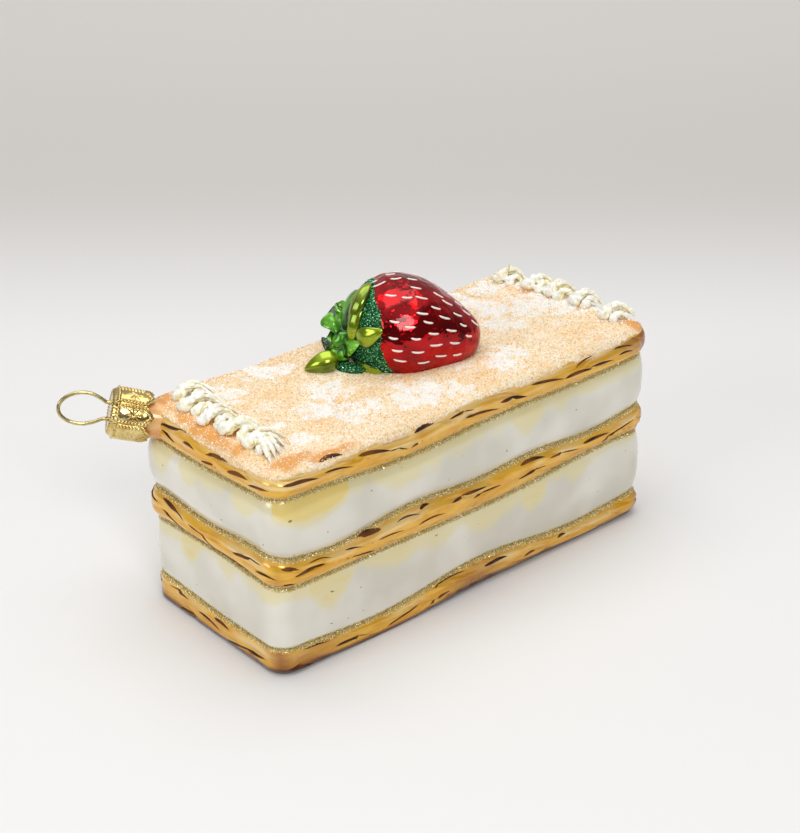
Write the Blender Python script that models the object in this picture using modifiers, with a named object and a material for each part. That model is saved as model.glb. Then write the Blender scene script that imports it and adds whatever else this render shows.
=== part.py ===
"""Blown-glass Christmas ornament in the shape of a mille feuille slice.

Three pieces, as the ornament is really made:

- glass_body: one blown piece, in which the three pastry sheets, the two cream
  fillings, two rows of piped cream and a strawberry are all relief of the same
  wall, with an open neck at one upper corner;
- cap: the stamped metal crown that sits over the neck;
- hanger_loop: the bent wire whose two legs go through the cap into the neck.

Metres, +Z up.  +X runs along the slice, away from the cap; the origin is the
centre of the flat underside.
"""

import math

import bmesh
import bpy
from mathutils import Matrix, Vector

# ---------------------------------------------------------------- slice
SLICE_LENGTH = 0.115
SLICE_WIDTH = 0.050
CORNER_RADIUS = 0.006
CORNER_STEPS = 4
LONG_STEPS = 20
SHORT_STEPS = 9
# The far end is cut askew: its back corner lies this much nearer the middle,
# and the skew dies away along the slice as this power.
FAR_END_SKEW = 0.0045
SKEW_POWER = 4

# Rounding below the lowest line: (share of that line's height, inset).
UNDERSIDE_ROWS = ((0.0, 0.0024), (0.35, 0.0013))
# Heights of the moulded lines, bottom to top, and the ripple of each line
# round the slice: (waves round the outline, height of the wave, phase).
LINE_HEIGHTS = (0.0013, 0.0065, 0.0225, 0.0299, 0.0440, 0.0491)
LINE_RIPPLES = (
    ((3, 0.0005, -14), (5, 0.0007, 59)),
    ((4, 0.0008, 76), (6, 0.0007, 76)),
    ((3, 0.0009, -51), (5, 0.0004, -171)),
    ((5, 0.0005, 125), (8, 0.0007, -86)),
    ((3, 0.0005, -101), (5, 0.0006, 39)),
    ((6, 0.0006, 74), (11, 0.0005, 103)),
)
GROOVE_HALF_HEIGHT = 0.0008
GROOVE_DEPTH = 0.0019
PASTRY_EDGE_INSET = 0.0009
CREAM_EDGE_INSET = 0.0011
# How far each band's crest lies inside the nominal outline, at the two ends.
BAND_CRESTS = ((0.0008, -0.0001), (0.0009, 0.0002), (-0.0004, -0.0001), (-0.0003, 0.0002), (0.0, 0.0002))
BAND_ROWS = (0.0, 0.14, 0.5, 0.86, 1.0)
BAND_SWELL_POWER = 3

TOP_HEIGHT = 0.0515
TOP_ROWS = ((0.45, 0.0011), (0.83, 0.0029), (1.0, 0.0054))
# The top sags towards its back edge, except near the cap.
BACK_SAG = 0.0020
BACK_SAG_START = 0.004
BACK_SAG_EASE = 0.046
SAG_CUTS = ((0, 0.004), (0, 0.009), (0, 0.014), (-0.040, 0), (-0.026, 0), (-0.0115, 0))
SAG_LOWEST = 0.046

# ---------------------------------------------------------------- strawberry
BERRY_HEADING = Vector((0.82, -0.57, -0.22)).normalized()
BERRY_WIDEST = Vector((0.0008, 0.0046, TOP_HEIGHT + 0.0062))
# Turned outline: distance from the widest place towards the tip, and radius.
# The step at its stem end is the raised green collar.
BERRY_OUTLINE = (
    (-0.0108, 0.0),
    (-0.0101, 0.0056),
    (-0.0080, 0.0092),
    (-0.0058, 0.0110),
    (-0.0044, 0.0117),
    (-0.0038, 0.0115),
    (0.0, 0.0128),
    (0.0032, 0.0127),
    (0.0072, 0.0115),
    (0.0110, 0.0097),
    (0.0145, 0.0078),
    (0.0172, 0.0060),
    (0.0192, 0.0040),
    (0.0201, 0.0016),
    (0.0202, 0.0),
)
BERRY_STEPS = 24

# Leaves of the calyx, in the berry's own frame: (distance along the berry,
# turn in degrees, distance from its axis) for root and tip, width, thickness.
CALYX_LEAVES = (
    ((-0.0108, 105, 0.0022), (-0.0072, -6, 0.0096), 0.0044, 0.0034),
    ((-0.0104, 100, 0.0046), (-0.0062, 74, 0.0110), 0.0058, 0.0028),
    ((-0.0084, 142, 0.0072), (-0.0038, 121, 0.0124), 0.0052, 0.0028),
    ((-0.0108, -70, 0.0030), (-0.0070, -62, 0.0098), 0.0060, 0.0028),
)
# Sepals, from the stem's end: reach of the tip, width and thickness.
SEPALS = (
    (Vector((-0.0050, 0.0064, -0.0010)), 0.0066, 0.0026),
    (Vector((0.0004, 0.0042, 0.0018)), 0.0052, 0.0024),
    (Vector((-0.0064, 0.0038, -0.0070)), 0.0074, 0.0034),
    (Vector((-0.0016, -0.0030, -0.0072)), 0.0056, 0.0028),
)
SEPAL_ROOT_DEPTH = 0.0014
STEM_LEAF_ROOT = Vector((-0.0140, 0.0064, TOP_HEIGHT + 0.0012))
STEM_LEAF_TIP = Vector((-0.0214, 0.0102, TOP_HEIGHT + 0.0006))
STEM_LEAF_WIDTH = 0.0060
STEM_LEAF_THICKNESS = 0.0054
# Leaves and tails are stretched spheres, narrowed by this share at the tip.
PAD_PINCH = 0.5
PAD_COLUMNS = 8
PAD_ROWS = 6

# ---------------------------------------------------------------- piped rows
# Places of the piped stars along the near and the far end.
NEAR_ROW = ((-0.0483, 0.0172), (-0.0498, 0.0116), (-0.0507, 0.0041), (-0.0498, -0.0032), (-0.0497, -0.0109))
FAR_ROW = ((0.0478, 0.0165), (0.0497, 0.0081), (0.0508, 0.0018), (0.0519, -0.0058), (0.0524, -0.0156))
ROSETTE_ROOT_DEPTH = 0.0007
ROSETTE_RADII = (0.0049, 0.0044)
ROSETTE_HEIGHT = 0.0030
ROSETTE_RIDGES = 5
ROSETTE_RIDGE_DEPTH = 0.13
ROSETTE_TWIST = 60
ROSETTE_ROWS = 8
SPIKE_RADIUS = 0.0014
SPIKE_HEIGHT = 0.0052
SPIKE_STEPS = 8
TAIL_REACH = Vector((-0.0028, -0.0074, 0.0))
TAIL_WIDTH = 0.0058
TAIL_THICKNESS = 0.0040

# ---------------------------------------------------------------- neck, cap, loop
NECK_ROOT = Vector((-0.0563, 0.0208, 0.0475))
NECK_AXIS = Vector((-0.80, 0.54, 0.24)).normalized()
LOOP_ACROSS = Vector((0.335, 0.061, 0.939))
NECK_RADIUS = 0.0045
NECK_BORE_RADIUS = 0.0035
NECK_LENGTH = 0.0082
NECK_BURIED = 0.0070
NECK_STEPS = 24
BORE_DEPTH = 0.0120
BORE_STEPS = 20
# How far a cutter reaches past the surface it opens.
CUT_BEYOND = 0.0020

CAP_PANELS = 7
CAP_PANEL_STEPS = 6
CAP_WALL = 0.00032
CAP_NOTCH = 0.0020
CAP_NOTCH_POWER = 1.4
CAP_CREASE = 0.0005
CAP_SKIRT_ROWS = 4
# Distance out from the neck's root, and outer radius; the first row is the
# pointed edge of the panels, and the last three are the end plate.
CAP_ROWS = (
    (0.0, 0.00520),
    (0.0022, 0.00548),
    (0.0050, 0.00562),
    (0.0082, 0.00560),
    (0.0090, 0.00530),
    (0.0094, 0.00470),
    (0.0095, 0.00260),
)

WIRE_RADIUS = 0.00043
LOOP_LENGTH = 0.0116
LOOP_HALF_WIDTH = 0.0036
LEG_HALF_SPACING = 0.0019
LEG_SPLAY = 0.0006
LEG_SPLAY_POWER = 1.5
LEG_LENGTH = 0.0062
LEG_STRAIGHT = 0.0010
LOOP_WIDEST_PART = 0.50
LOOP_SAG = 0.0011
LOOP_SAG_POWER = 1.5
LEG_POINTS = 6
BOW_POINTS = 8
LEG_HOLE_RADIUS = 0.0008
LEG_HOLE_DEPTH = 0.0015
LEG_HOLE_STEPS = 10
WIRE_BEVEL_STEPS = 2

# Edges sharper than this, in degrees, stay crisp when shaded.
CRISP_ANGLE = 35


def collection(name):
    """A new collection linked to the scene."""
    group = bpy.data.collections.new(name)
    bpy.context.scene.collection.children.link(group)
    return group


def material(name, colour, roughness, metallic=0.0):
    """A Principled material of one colour."""
    made = bpy.data.materials.new(name)
    made.use_nodes = True
    shader = made.node_tree.nodes["Principled BSDF"]
    shader.inputs["Base Color"].default_value = (*colour, 1.0)
    shader.inputs["Roughness"].default_value = roughness
    shader.inputs["Metallic"].default_value = metallic
    return made


def add_object(name, bm, group):
    """Turn a bmesh into an object of a collection."""
    bmesh.ops.recalc_face_normals(bm, faces=bm.faces)
    mesh = bpy.data.meshes.new(name)
    bm.to_mesh(mesh)
    bm.free()
    made = bpy.data.objects.new(name, mesh)
    group.objects.link(made)
    return made


def add_cutter(name, bm, group):
    """An object that only joins or cuts another, hidden from the build."""
    made = add_object(name, bm, group)
    made.hide_render = True
    made.display_type = "WIRE"
    return made


def boolean(target, operation, operand):
    """Join a collection to an object, or cut it with one."""
    step = target.modifiers.new(operation.title(), "BOOLEAN")
    step.operation = operation
    step.solver = "EXACT"
    if isinstance(operand, bpy.types.Collection):
        step.operand_type = "COLLECTION"
        step.collection = operand
    else:
        step.object = operand
    return step


def frame_along(axis, across, origin):
    """Matrix whose Z is the axis and whose X leans towards another direction."""
    z = axis.normalized()
    x = (across - z * across.dot(z)).normalized()
    y = z.cross(x)
    turn = Matrix((x, y, z)).transposed().to_4x4()
    return Matrix.Translation(origin) @ turn


# ---------------------------------------------------------------- slice
def skewed(place):
    """Draw the back of the far end in, easing out towards the middle."""
    towards_far = (place.x / SLICE_LENGTH + 0.5) ** SKEW_POWER
    towards_back = place.y / SLICE_WIDTH + 0.5
    return place - Vector((FAR_END_SKEW * towards_far * towards_back, 0, 0))


def outline():
    """Points round the nominal slice: (position, outward normal, arc length).

    The arc length counts anticlockwise from the middle of the -Y side.
    """
    half_x = SLICE_LENGTH / 2 - CORNER_RADIUS
    half_y = SLICE_WIDTH / 2 - CORNER_RADIUS
    arc = CORNER_RADIUS * math.pi / 2
    centres = ((half_x, -half_y), (half_x, half_y), (-half_x, half_y), (-half_x, -half_y))
    walked = half_x
    points = []
    for index, (cx, cy) in enumerate(centres):
        start = math.radians(-90 + 90 * index)
        for step in range(CORNER_STEPS + 1):
            angle = start + math.radians(90) * step / CORNER_STEPS
            normal = Vector((math.cos(angle), math.sin(angle), 0))
            place = Vector((cx, cy, 0)) + normal * CORNER_RADIUS
            points.append((skewed(place), normal, walked + arc * step / CORNER_STEPS))
        walked += arc
        straight = 2 * (half_y if index % 2 == 0 else half_x)
        steps = SHORT_STEPS if index % 2 == 0 else LONG_STEPS
        along = Vector((-normal.y, normal.x, 0))
        for step in range(1, steps):
            run = straight * step / steps
            points.append((skewed(place + along * run), normal, walked + run))
        walked += straight
    return points, walked - half_x


def top_sag(x, y):
    """How far the top lies below its flat part at one place."""
    towards_back = max(0.0, (y - BACK_SAG_START) / (SLICE_WIDTH / 2 - BACK_SAG_START))
    from_cap = min(1.0, max(0.0, (x + SLICE_LENGTH / 2) / BACK_SAG_EASE))
    return BACK_SAG * towards_back ** 2 * from_cap


def line_height(index, walked, perimeter):
    """Height of one moulded line at a place on the outline."""
    height = LINE_HEIGHTS[index]
    for waves, size, phase in LINE_RIPPLES[index]:
        turn = 2 * math.pi * waves * walked / perimeter + math.radians(phase)
        height += size * math.sin(turn)
    return height


def side_column(place, walked, perimeter):
    """(height, inset) pairs up the slice's side at one place."""
    towards_far = place.x / SLICE_LENGTH + 0.5
    lines = [line_height(i, walked, perimeter) for i in range(len(LINE_HEIGHTS))]
    pairs = [(lines[0] * part, inset) for part, inset in UNDERSIDE_ROWS]
    for band, (near, far) in enumerate(BAND_CRESTS):
        crest = near + (far - near) * towards_far
        is_cream = band % 2 == 1
        edge = CREAM_EDGE_INSET if is_cream else PASTRY_EDGE_INSET
        low = lines[band] + (GROOVE_HALF_HEIGHT if band else 0.0)
        high = lines[band + 1] - (GROOVE_HALF_HEIGHT if band < 4 else 0.0)
        rows = BAND_ROWS if is_cream else BAND_ROWS[::2]
        for part in rows:
            swell = 1 - abs(2 * part - 1) ** BAND_SWELL_POWER
            pairs.append((low + (high - low) * part, edge + (crest - edge) * swell))
        if band < 4:
            pairs.append((lines[band + 1], GROOVE_DEPTH))
    for part, inset in TOP_ROWS:
        pairs.append((lines[5] + (TOP_HEIGHT - lines[5]) * part, inset))
    return pairs


def make_slice(group):
    """The layered block, lofted through rings that follow the moulded lines."""
    points, perimeter = outline()
    columns = [side_column(place, walked, perimeter) for place, _, walked in points]
    bm = bmesh.new()
    rings = []
    for row in range(len(columns[0])):
        ring = []
        for (place, normal, _), column in zip(points, columns):
            height, inset = column[row]
            corner = place - normal * inset
            ring.append(bm.verts.new((corner.x, corner.y, height)))
        rings.append(ring)
    count = len(points)
    for low, high in zip(rings, rings[1:]):
        for i in range(count):
            j = (i + 1) % count
            bm.faces.new((low[i], low[j], high[j], high[i]))
    bm.faces.new(list(reversed(rings[0])))
    top = {bm.faces.new(rings[-1])}
    for x, y in SAG_CUTS:
        parts = {item for face in top for item in (face, *face.edges, *face.verts)}
        cut = bmesh.ops.bisect_plane(bm, geom=list(parts), plane_co=(x, y, 0), plane_no=(x, y, 0))
        top = {item for item in cut["geom"] if isinstance(item, bmesh.types.BMFace)}
    for vert in bm.verts:
        share = min(1.0, max(0.0, (vert.co.z - SAG_LOWEST) / (TOP_HEIGHT - SAG_LOWEST)))
        vert.co.z -= top_sag(vert.co.x, vert.co.y) * share
    return add_object("glass_body", bm, group)


# ---------------------------------------------------------------- strawberry
def make_berry(group):
    """The strawberry, turned about its own length and sunk into the top."""
    bm = bmesh.new()
    matrix = frame_along(BERRY_HEADING, Vector((0, 0, 1)), BERRY_WIDEST)
    profile = [bm.verts.new((radius, 0, along)) for along, radius in BERRY_OUTLINE]
    edges = [bm.edges.new(pair) for pair in zip(profile, profile[1:])]
    bmesh.ops.spin(
        bm,
        geom=profile + edges,
        cent=(0, 0, 0),
        axis=(0, 0, 1),
        angle=2 * math.pi,
        steps=BERRY_STEPS,
        use_merge=True,
    )
    bmesh.ops.remove_doubles(bm, verts=bm.verts, dist=1e-6)
    bm.transform(matrix)
    return add_cutter("strawberry_form", bm, group)


def pad(name, group, root, tip, outward, width, thickness):
    """A pointed pad from root to tip: a stretched sphere, pinched to its tip."""
    bm = bmesh.new()
    bmesh.ops.create_uvsphere(bm, u_segments=PAD_COLUMNS, v_segments=PAD_ROWS, radius=1.0)
    length = (tip - root).length
    for vert in bm.verts:
        pinch = 1 - PAD_PINCH * max(vert.co.z, 0) ** 2
        vert.co.x *= thickness / 2 * pinch
        vert.co.y *= width / 2 * pinch
        vert.co.z *= length / 2
    bm.transform(frame_along(tip - root, outward, (root + tip) / 2))
    return add_cutter(name, bm, group)


def make_calyx(group):
    """Leaves lying on the berry's shoulder, sepals that stand off, one stem leaf."""
    berry = frame_along(BERRY_HEADING, Vector((0, 0, 1)), BERRY_WIDEST)
    for index, (root, tip, width, thickness) in enumerate(CALYX_LEAVES):
        ends = []
        for along, turn, reach in (root, tip):
            angle = math.radians(turn)
            ends.append(berry @ Vector((reach * math.cos(angle), reach * math.sin(angle), along)))
        outward = sum(ends, Vector()) / 2 - BERRY_WIDEST
        pad(f"leaf_form_{index}", group, *ends, outward, width, thickness)
    stem = berry @ Vector((0, 0, BERRY_OUTLINE[0][0] + SEPAL_ROOT_DEPTH))
    for index, (reach, width, thickness) in enumerate(SEPALS):
        pad(f"sepal_form_{index}", group, stem, stem + reach, -BERRY_HEADING, width, thickness)
    up = Vector((0, 0, 1))
    pad("stem_leaf_form", group, STEM_LEAF_ROOT, STEM_LEAF_TIP, up, STEM_LEAF_WIDTH, STEM_LEAF_THICKNESS)


# ---------------------------------------------------------------- piped rows
def make_rosette(name, group, centre):
    """One piped star: a low dome whose ridges twist as they rise."""
    bm = bmesh.new()
    bmesh.ops.create_uvsphere(bm, u_segments=4 * ROSETTE_RIDGES, v_segments=ROSETTE_ROWS, radius=1.0)
    for vert in bm.verts:
        angle = math.atan2(vert.co.y, vert.co.x)
        rise = max(vert.co.z, 0.0)
        reach = math.hypot(vert.co.x, vert.co.y)
        twist = math.radians(ROSETTE_TWIST) * rise
        ridge = 1 + ROSETTE_RIDGE_DEPTH * math.cos(ROSETTE_RIDGES * angle) * (1 - rise)
        vert.co.x = ROSETTE_RADII[0] * reach * ridge * math.cos(angle + twist)
        vert.co.y = ROSETTE_RADII[1] * reach * ridge * math.sin(angle + twist)
        vert.co.z *= ROSETTE_HEIGHT
    bm.transform(Matrix.Translation(centre))
    return add_cutter(name, bm, group)


def make_piped_rows(group):
    """A row of piped stars across each end.

    The near row ends in a drawn-out tail; the far row begins with a spike.
    """
    root_height = TOP_HEIGHT - ROSETTE_ROOT_DEPTH
    for row, places in (("near", NEAR_ROW), ("far", FAR_ROW)):
        for index, (x, y) in enumerate(places):
            centre = Vector((x, y, root_height - top_sag(x, y)))
            make_rosette(f"{row}_rosette_form_{index}", group, centre)
    last = Vector((*NEAR_ROW[-1], root_height))
    up = Vector((0, 0, 1))
    pad("tail_form", group, last, last + TAIL_REACH, up, TAIL_WIDTH, TAIL_THICKNESS)
    spike = bmesh.new()
    bmesh.ops.create_cone(
        spike,
        cap_ends=True,
        segments=SPIKE_STEPS,
        radius1=SPIKE_RADIUS,
        radius2=0.0,
        depth=SPIKE_HEIGHT,
    )
    foot = root_height - top_sag(*FAR_ROW[0])
    spike.transform(Matrix.Translation((*FAR_ROW[0], foot + SPIKE_HEIGHT / 2)))
    add_cutter("spike_form", spike, group)


# ---------------------------------------------------------------- neck
def neck_matrix():
    """Frame of the neck: Z out of the bore, X along the loop's width."""
    return frame_along(NECK_AXIS, LOOP_ACROSS, NECK_ROOT)


def cylinder(radius, low, high, segments):
    """A closed cylinder along Z between two heights."""
    bm = bmesh.new()
    bmesh.ops.create_cone(
        bm,
        cap_ends=True,
        segments=segments,
        radius1=radius,
        radius2=radius,
        depth=high - low,
    )
    bm.transform(Matrix.Translation((0, 0, (low + high) / 2)))
    return bm


def make_neck(group):
    """The blown neck that the cap sits over."""
    bm = cylinder(NECK_RADIUS, -NECK_BURIED, NECK_LENGTH, NECK_STEPS)
    bm.transform(neck_matrix())
    return add_cutter("neck_form", bm, group)


def make_bore(group):
    """The neck's open bore, which the wire's legs reach into."""
    bm = cylinder(NECK_BORE_RADIUS, NECK_LENGTH - BORE_DEPTH, NECK_LENGTH + CUT_BEYOND, BORE_STEPS)
    bm.transform(neck_matrix())
    return add_cutter("neck_bore", bm, group)


# ---------------------------------------------------------------- cap
def make_cap(group, cutters):
    """The stamped crown: creased panels with pointed ends below a flat plate."""
    steps = CAP_PANELS * CAP_PANEL_STEPS
    bm = bmesh.new()
    rings = []
    for row, (out, radius) in enumerate(CAP_ROWS):
        ring = []
        for step in range(steps):
            angle = 2 * math.pi * step / steps
            from_crease = abs((step / CAP_PANEL_STEPS + 0.5) % 1 - 0.5) * 2
            is_skirt = row < CAP_SKIRT_ROWS
            crease = CAP_CREASE if is_skirt and from_crease == 0 else 0.0
            notch = CAP_NOTCH * (1 - from_crease) ** CAP_NOTCH_POWER if row == 0 else 0.0
            reach = radius - crease
            ring.append(bm.verts.new((reach * math.cos(angle), reach * math.sin(angle), out + notch)))
        rings.append(ring)
    for low, high in zip(rings, rings[1:]):
        for i in range(steps):
            j = (i + 1) % steps
            bm.faces.new((low[i], low[j], high[j], high[i]))
    bm.faces.new(rings[-1])
    made = add_object("cap", bm, group)
    made.matrix_world = neck_matrix()
    wall = made.modifiers.new("Wall", "SOLIDIFY")
    wall.thickness = CAP_WALL
    wall.offset = -1.0
    for side in (-1, 1):
        plate = CAP_ROWS[-1][0]
        hole = cylinder(LEG_HOLE_RADIUS, plate - LEG_HOLE_DEPTH, plate + LEG_HOLE_DEPTH, LEG_HOLE_STEPS)
        hole.transform(neck_matrix() @ Matrix.Translation((side * LEG_HALF_SPACING, 0, 0)))
        drill = add_cutter(f"leg_hole_{side + 1}", hole, cutters)
        boolean(made, "DIFFERENCE", drill)
    return made


# ---------------------------------------------------------------- hanger loop
def loop_route():
    """Centre line of the wire in the neck's frame: X across, Z outwards."""
    plate = CAP_ROWS[-1][0]
    inside = plate - LEG_LENGTH
    clear = plate + LEG_STRAIGHT
    widest = plate + LOOP_LENGTH * LOOP_WIDEST_PART
    reach = plate + LOOP_LENGTH - WIRE_RADIUS
    half = []
    for step in range(LEG_POINTS):
        part = step / LEG_POINTS
        splay = LEG_SPLAY * (1 - part) ** LEG_SPLAY_POWER
        half.append((LEG_HALF_SPACING + splay, inside + (clear - inside) * part))
    for step in range(BOW_POINTS):
        part = step / BOW_POINTS
        spread = LOOP_HALF_WIDTH - LEG_HALF_SPACING
        across = LEG_HALF_SPACING + spread * math.sin(part * math.pi / 2)
        half.append((across, clear + (widest - clear) * part))
    for step in range(BOW_POINTS + 1):
        turn = math.pi / 2 * step / BOW_POINTS
        across = LOOP_HALF_WIDTH * math.cos(turn)
        half.append((across, widest + (reach - widest) * math.sin(turn)))
    other = [(-across, out) for across, out in reversed(half[:-1])]
    route = []
    for across, out in half + other:
        beyond = max(out - clear, 0.0) / LOOP_LENGTH
        route.append(Vector((across - LOOP_SAG * beyond ** LOOP_SAG_POWER, 0, out)))
    return route


def make_loop(group):
    """The bent wire, a round bar along its centre line."""
    route = [neck_matrix() @ point for point in loop_route()]
    curve = bpy.data.curves.new("hanger_loop", "CURVE")
    curve.dimensions = "3D"
    curve.bevel_depth = WIRE_RADIUS
    curve.bevel_resolution = WIRE_BEVEL_STEPS
    curve.use_fill_caps = True
    spline = curve.splines.new("POLY")
    spline.points.add(len(route) - 1)
    for point, place in zip(spline.points, route):
        point.co = (*place, 1.0)
    made = bpy.data.objects.new("hanger_loop", curve)
    group.objects.link(made)
    return made


def build():
    """Make the three pieces."""
    for old in list(bpy.data.objects):
        bpy.data.objects.remove(old, do_unlink=True)

    ornament = collection("mille_feuille_ornament")
    relief = collection("relief_forms")
    cutters = collection("cutters")

    body = make_slice(ornament)
    make_berry(relief)
    make_calyx(relief)
    make_piped_rows(relief)
    make_neck(relief)
    boolean(body, "UNION", relief)
    boolean(body, "DIFFERENCE", make_bore(cutters))
    cap = make_cap(ornament, cutters)
    loop = make_loop(ornament)

    body.data.materials.append(material("painted_glass", (0.80, 0.66, 0.42), 0.22, 0.15))
    cap.data.materials.append(material("gold_cap", (0.78, 0.55, 0.20), 0.25, 1.0))
    loop.data.materials.append(material("gold_wire", (0.80, 0.72, 0.45), 0.25, 1.0))
    for piece in (body, cap):
        piece.data.shade_smooth()
        piece.data.set_sharp_from_angle(angle=math.radians(CRISP_ANGLE))


build()
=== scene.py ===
"""Blown-glass Christmas ornament in the shape of a mille feuille slice.

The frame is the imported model.  Every piece here stands for part of its three
solids: the painted glass body, the stamped cap and the wire hanger.
"""

import math
import random

import bmesh
import bpy
from mathutils import Matrix, Vector, noise


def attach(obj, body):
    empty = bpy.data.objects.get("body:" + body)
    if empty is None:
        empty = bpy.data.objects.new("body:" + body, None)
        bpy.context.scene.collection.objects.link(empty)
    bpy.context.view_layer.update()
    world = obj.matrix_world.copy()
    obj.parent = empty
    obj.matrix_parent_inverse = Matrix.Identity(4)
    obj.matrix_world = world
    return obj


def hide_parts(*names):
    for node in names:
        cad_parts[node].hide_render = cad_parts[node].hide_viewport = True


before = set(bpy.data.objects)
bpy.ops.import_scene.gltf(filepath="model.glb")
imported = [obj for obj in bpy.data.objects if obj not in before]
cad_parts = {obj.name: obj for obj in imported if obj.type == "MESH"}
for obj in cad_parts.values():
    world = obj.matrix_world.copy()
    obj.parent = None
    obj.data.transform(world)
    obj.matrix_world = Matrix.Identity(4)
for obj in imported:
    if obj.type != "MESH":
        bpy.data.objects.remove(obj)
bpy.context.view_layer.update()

# ---------------------------------------------------------------- camera
# A short telephoto lens a little over half a metre away, looking down on the
# near corner of the slice.
VIEW_AZIMUTH = math.radians(-40.49)
VIEW_ELEVATION = math.radians(28.77)
VIEW_DISTANCE = 0.53024
VIEW_TARGET = Vector((0.00914, 0.01241, 0.0280))
VIEW_LENS = 95.08
SENSOR_WIDTH = 36.0
NEAREST_SEEN = 0.01
towards_camera = Vector((
    math.sin(VIEW_AZIMUTH) * math.cos(VIEW_ELEVATION),
    -math.cos(VIEW_AZIMUTH) * math.cos(VIEW_ELEVATION),
    math.sin(VIEW_ELEVATION),
))
camera_data = bpy.data.cameras.new("camera")
camera_data.lens = VIEW_LENS
camera_data.sensor_width = SENSOR_WIDTH
camera_data.clip_start = NEAREST_SEEN
camera = bpy.data.objects.new("camera", camera_data)
camera.location = VIEW_TARGET + towards_camera * VIEW_DISTANCE
camera.rotation_euler = towards_camera.to_track_quat("Z", "Y").to_euler()
bpy.context.scene.collection.objects.link(camera)
bpy.context.scene.camera = camera


# ---------------------------------------------------------------- studio floor
# A wide sheet of white paper, greyed behind the slice by painted shade that stands for a backdrop in less
# light.
def paint(red, green, blue):
    """A colour mixed in steps of 0 to 255, as the linear value a shader takes."""
    return tuple(((c / 255 + 0.055) / 1.055) ** 2.4 if c > 10 else c / 3295 for c in (red, green, blue))


class Reading:
    """A value that varies over a surface; sums and products add their nodes."""

    def __init__(self, nodes, socket):
        self.nodes = nodes
        self.socket = socket

    def maths(self, operation, *values):
        return self.nodes.node("ShaderNodeMath", {"operation": operation}, values)

    def __add__(self, other):
        return self.maths("ADD", self, other)

    def __sub__(self, other):
        return self.maths("SUBTRACT", self, other)

    def __rsub__(self, other):
        return self.maths("SUBTRACT", other, self)

    def __mul__(self, other):
        return self.maths("MULTIPLY", self, other)

    __radd__ = __add__
    __rmul__ = __mul__

    def step(self, low, high):
        """0 below low, 1 above high, smooth between."""
        settings = {"interpolation_type": "SMOOTHSTEP"}
        inputs = {"Value": self, "From Min": low, "From Max": high}
        return self.nodes.node("ShaderNodeMapRange", settings, inputs)


class Nodes:
    """A node tree, with one way to add a node and join it up."""

    def __init__(self, tree):
        self.tree = tree

    def feed(self, socket, value):
        if isinstance(value, Reading):
            self.tree.links.new(value.socket, socket)
        elif socket.type == "RGBA":
            socket.default_value = (*value, 1.0)
        else:
            socket.default_value = value

    def node(self, kind, settings=None, inputs=(), output=0):
        made = self.tree.nodes.new(kind)
        for key, value in (settings or {}).items():
            setattr(made, key, value)
        pairs = inputs.items() if isinstance(inputs, dict) else enumerate(inputs)
        for key, value in pairs:
            self.feed(made.inputs[key], value)
        return Reading(self, made.outputs[output])

    def mix(self, share, first, second, blend="MIX"):
        """Two colours mixed, or blended, by a share of the second."""
        settings = {"data_type": "RGBA", "blend_type": blend}
        return self.node("ShaderNodeMix", settings, {0: share, 6: first, 7: second}, output=2)


class Finish(Nodes):
    """A Principled material and the nodes that vary it over a piece."""

    def __init__(self, name):
        self.material = bpy.data.materials.new(name)
        self.material.use_nodes = True
        super().__init__(self.material.node_tree)
        self.shader = self.tree.nodes["Principled BSDF"]

    def set(self, **values):
        """Set sockets of the shader, written with underscores for spaces."""
        for name, value in values.items():
            self.feed(self.shader.inputs[name.replace("_", " ")], value)
        return self.material

    def grain(self, scale, detail=2.0, stretch=(1.0, 1.0, 1.0), roughness=0.5):
        """Cloudy noise through the piece, scale in cycles a metre."""
        place = self.node("ShaderNodeTexCoord", output=3)
        place = self.node("ShaderNodeMapping", None, {"Vector": place, "Scale": stretch})
        inputs = {"Vector": place, "Scale": scale, "Detail": detail, "Roughness": roughness}
        return self.node("ShaderNodeTexNoise", None, inputs)

    def marked(self, name):
        """A value stored on the mesh's own points."""
        return self.node("ShaderNodeAttribute", {"attribute_name": name}, output=2)

    def bump(self, height, distance, strength=1.0):
        inputs = {"Height": height, "Distance": distance, "Strength": strength}
        return self.node("ShaderNodeBump", None, inputs)


FLOOR_RADIUS = 4.0
# Where the painted shade on the paper starts, is deepest, and lightens again, in metres behind the slice.
GREY_FROM, GREY_TO, PALE_BY = 0.10, 0.23, 0.45
FLOOR_NEAR = paint(237, 236, 235)
FLOOR_PAINTED_SHADE = paint(211, 207, 203)
FLOOR_BACK = paint(227, 223, 218)
floor_mesh = bmesh.new()
bmesh.ops.create_circle(floor_mesh, cap_ends=True, segments=96, radius=FLOOR_RADIUS)
floor_data = bpy.data.meshes.new("floor")
floor_mesh.to_mesh(floor_data)
floor_mesh.free()
floor = bpy.data.objects.new("floor", floor_data)
bpy.context.scene.collection.objects.link(floor)
paper = Finish("paper")
place = paper.node("ShaderNodeTexCoord", output=3)
heading = Vector((-towards_camera.x, -towards_camera.y, 0)).normalized()
away = paper.node("ShaderNodeVectorMath", {"operation": "DOT_PRODUCT"}, (place, heading), output=1)
# Painted shade: the paper greys behind the slice, then pales a little further back.
paper_colour = paper.mix(away.step(GREY_FROM, GREY_TO), FLOOR_NEAR, FLOOR_PAINTED_SHADE)
paper_colour = paper.mix(away.step(GREY_TO, PALE_BY), paper_colour, FLOOR_BACK)
floor_data.materials.append(paper.set(Base_Color=paper_colour, Roughness=0.85))

# ---------------------------------------------------------------- studio light
# A white room with a broad soft box overhead, a smaller one at the upper left,
# and the dark of the room behind the viewer.
ROOM_OVERHEAD = 0.72
ROOM_PAPER = 0.46
ROOM_DARK = 0.13
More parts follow.
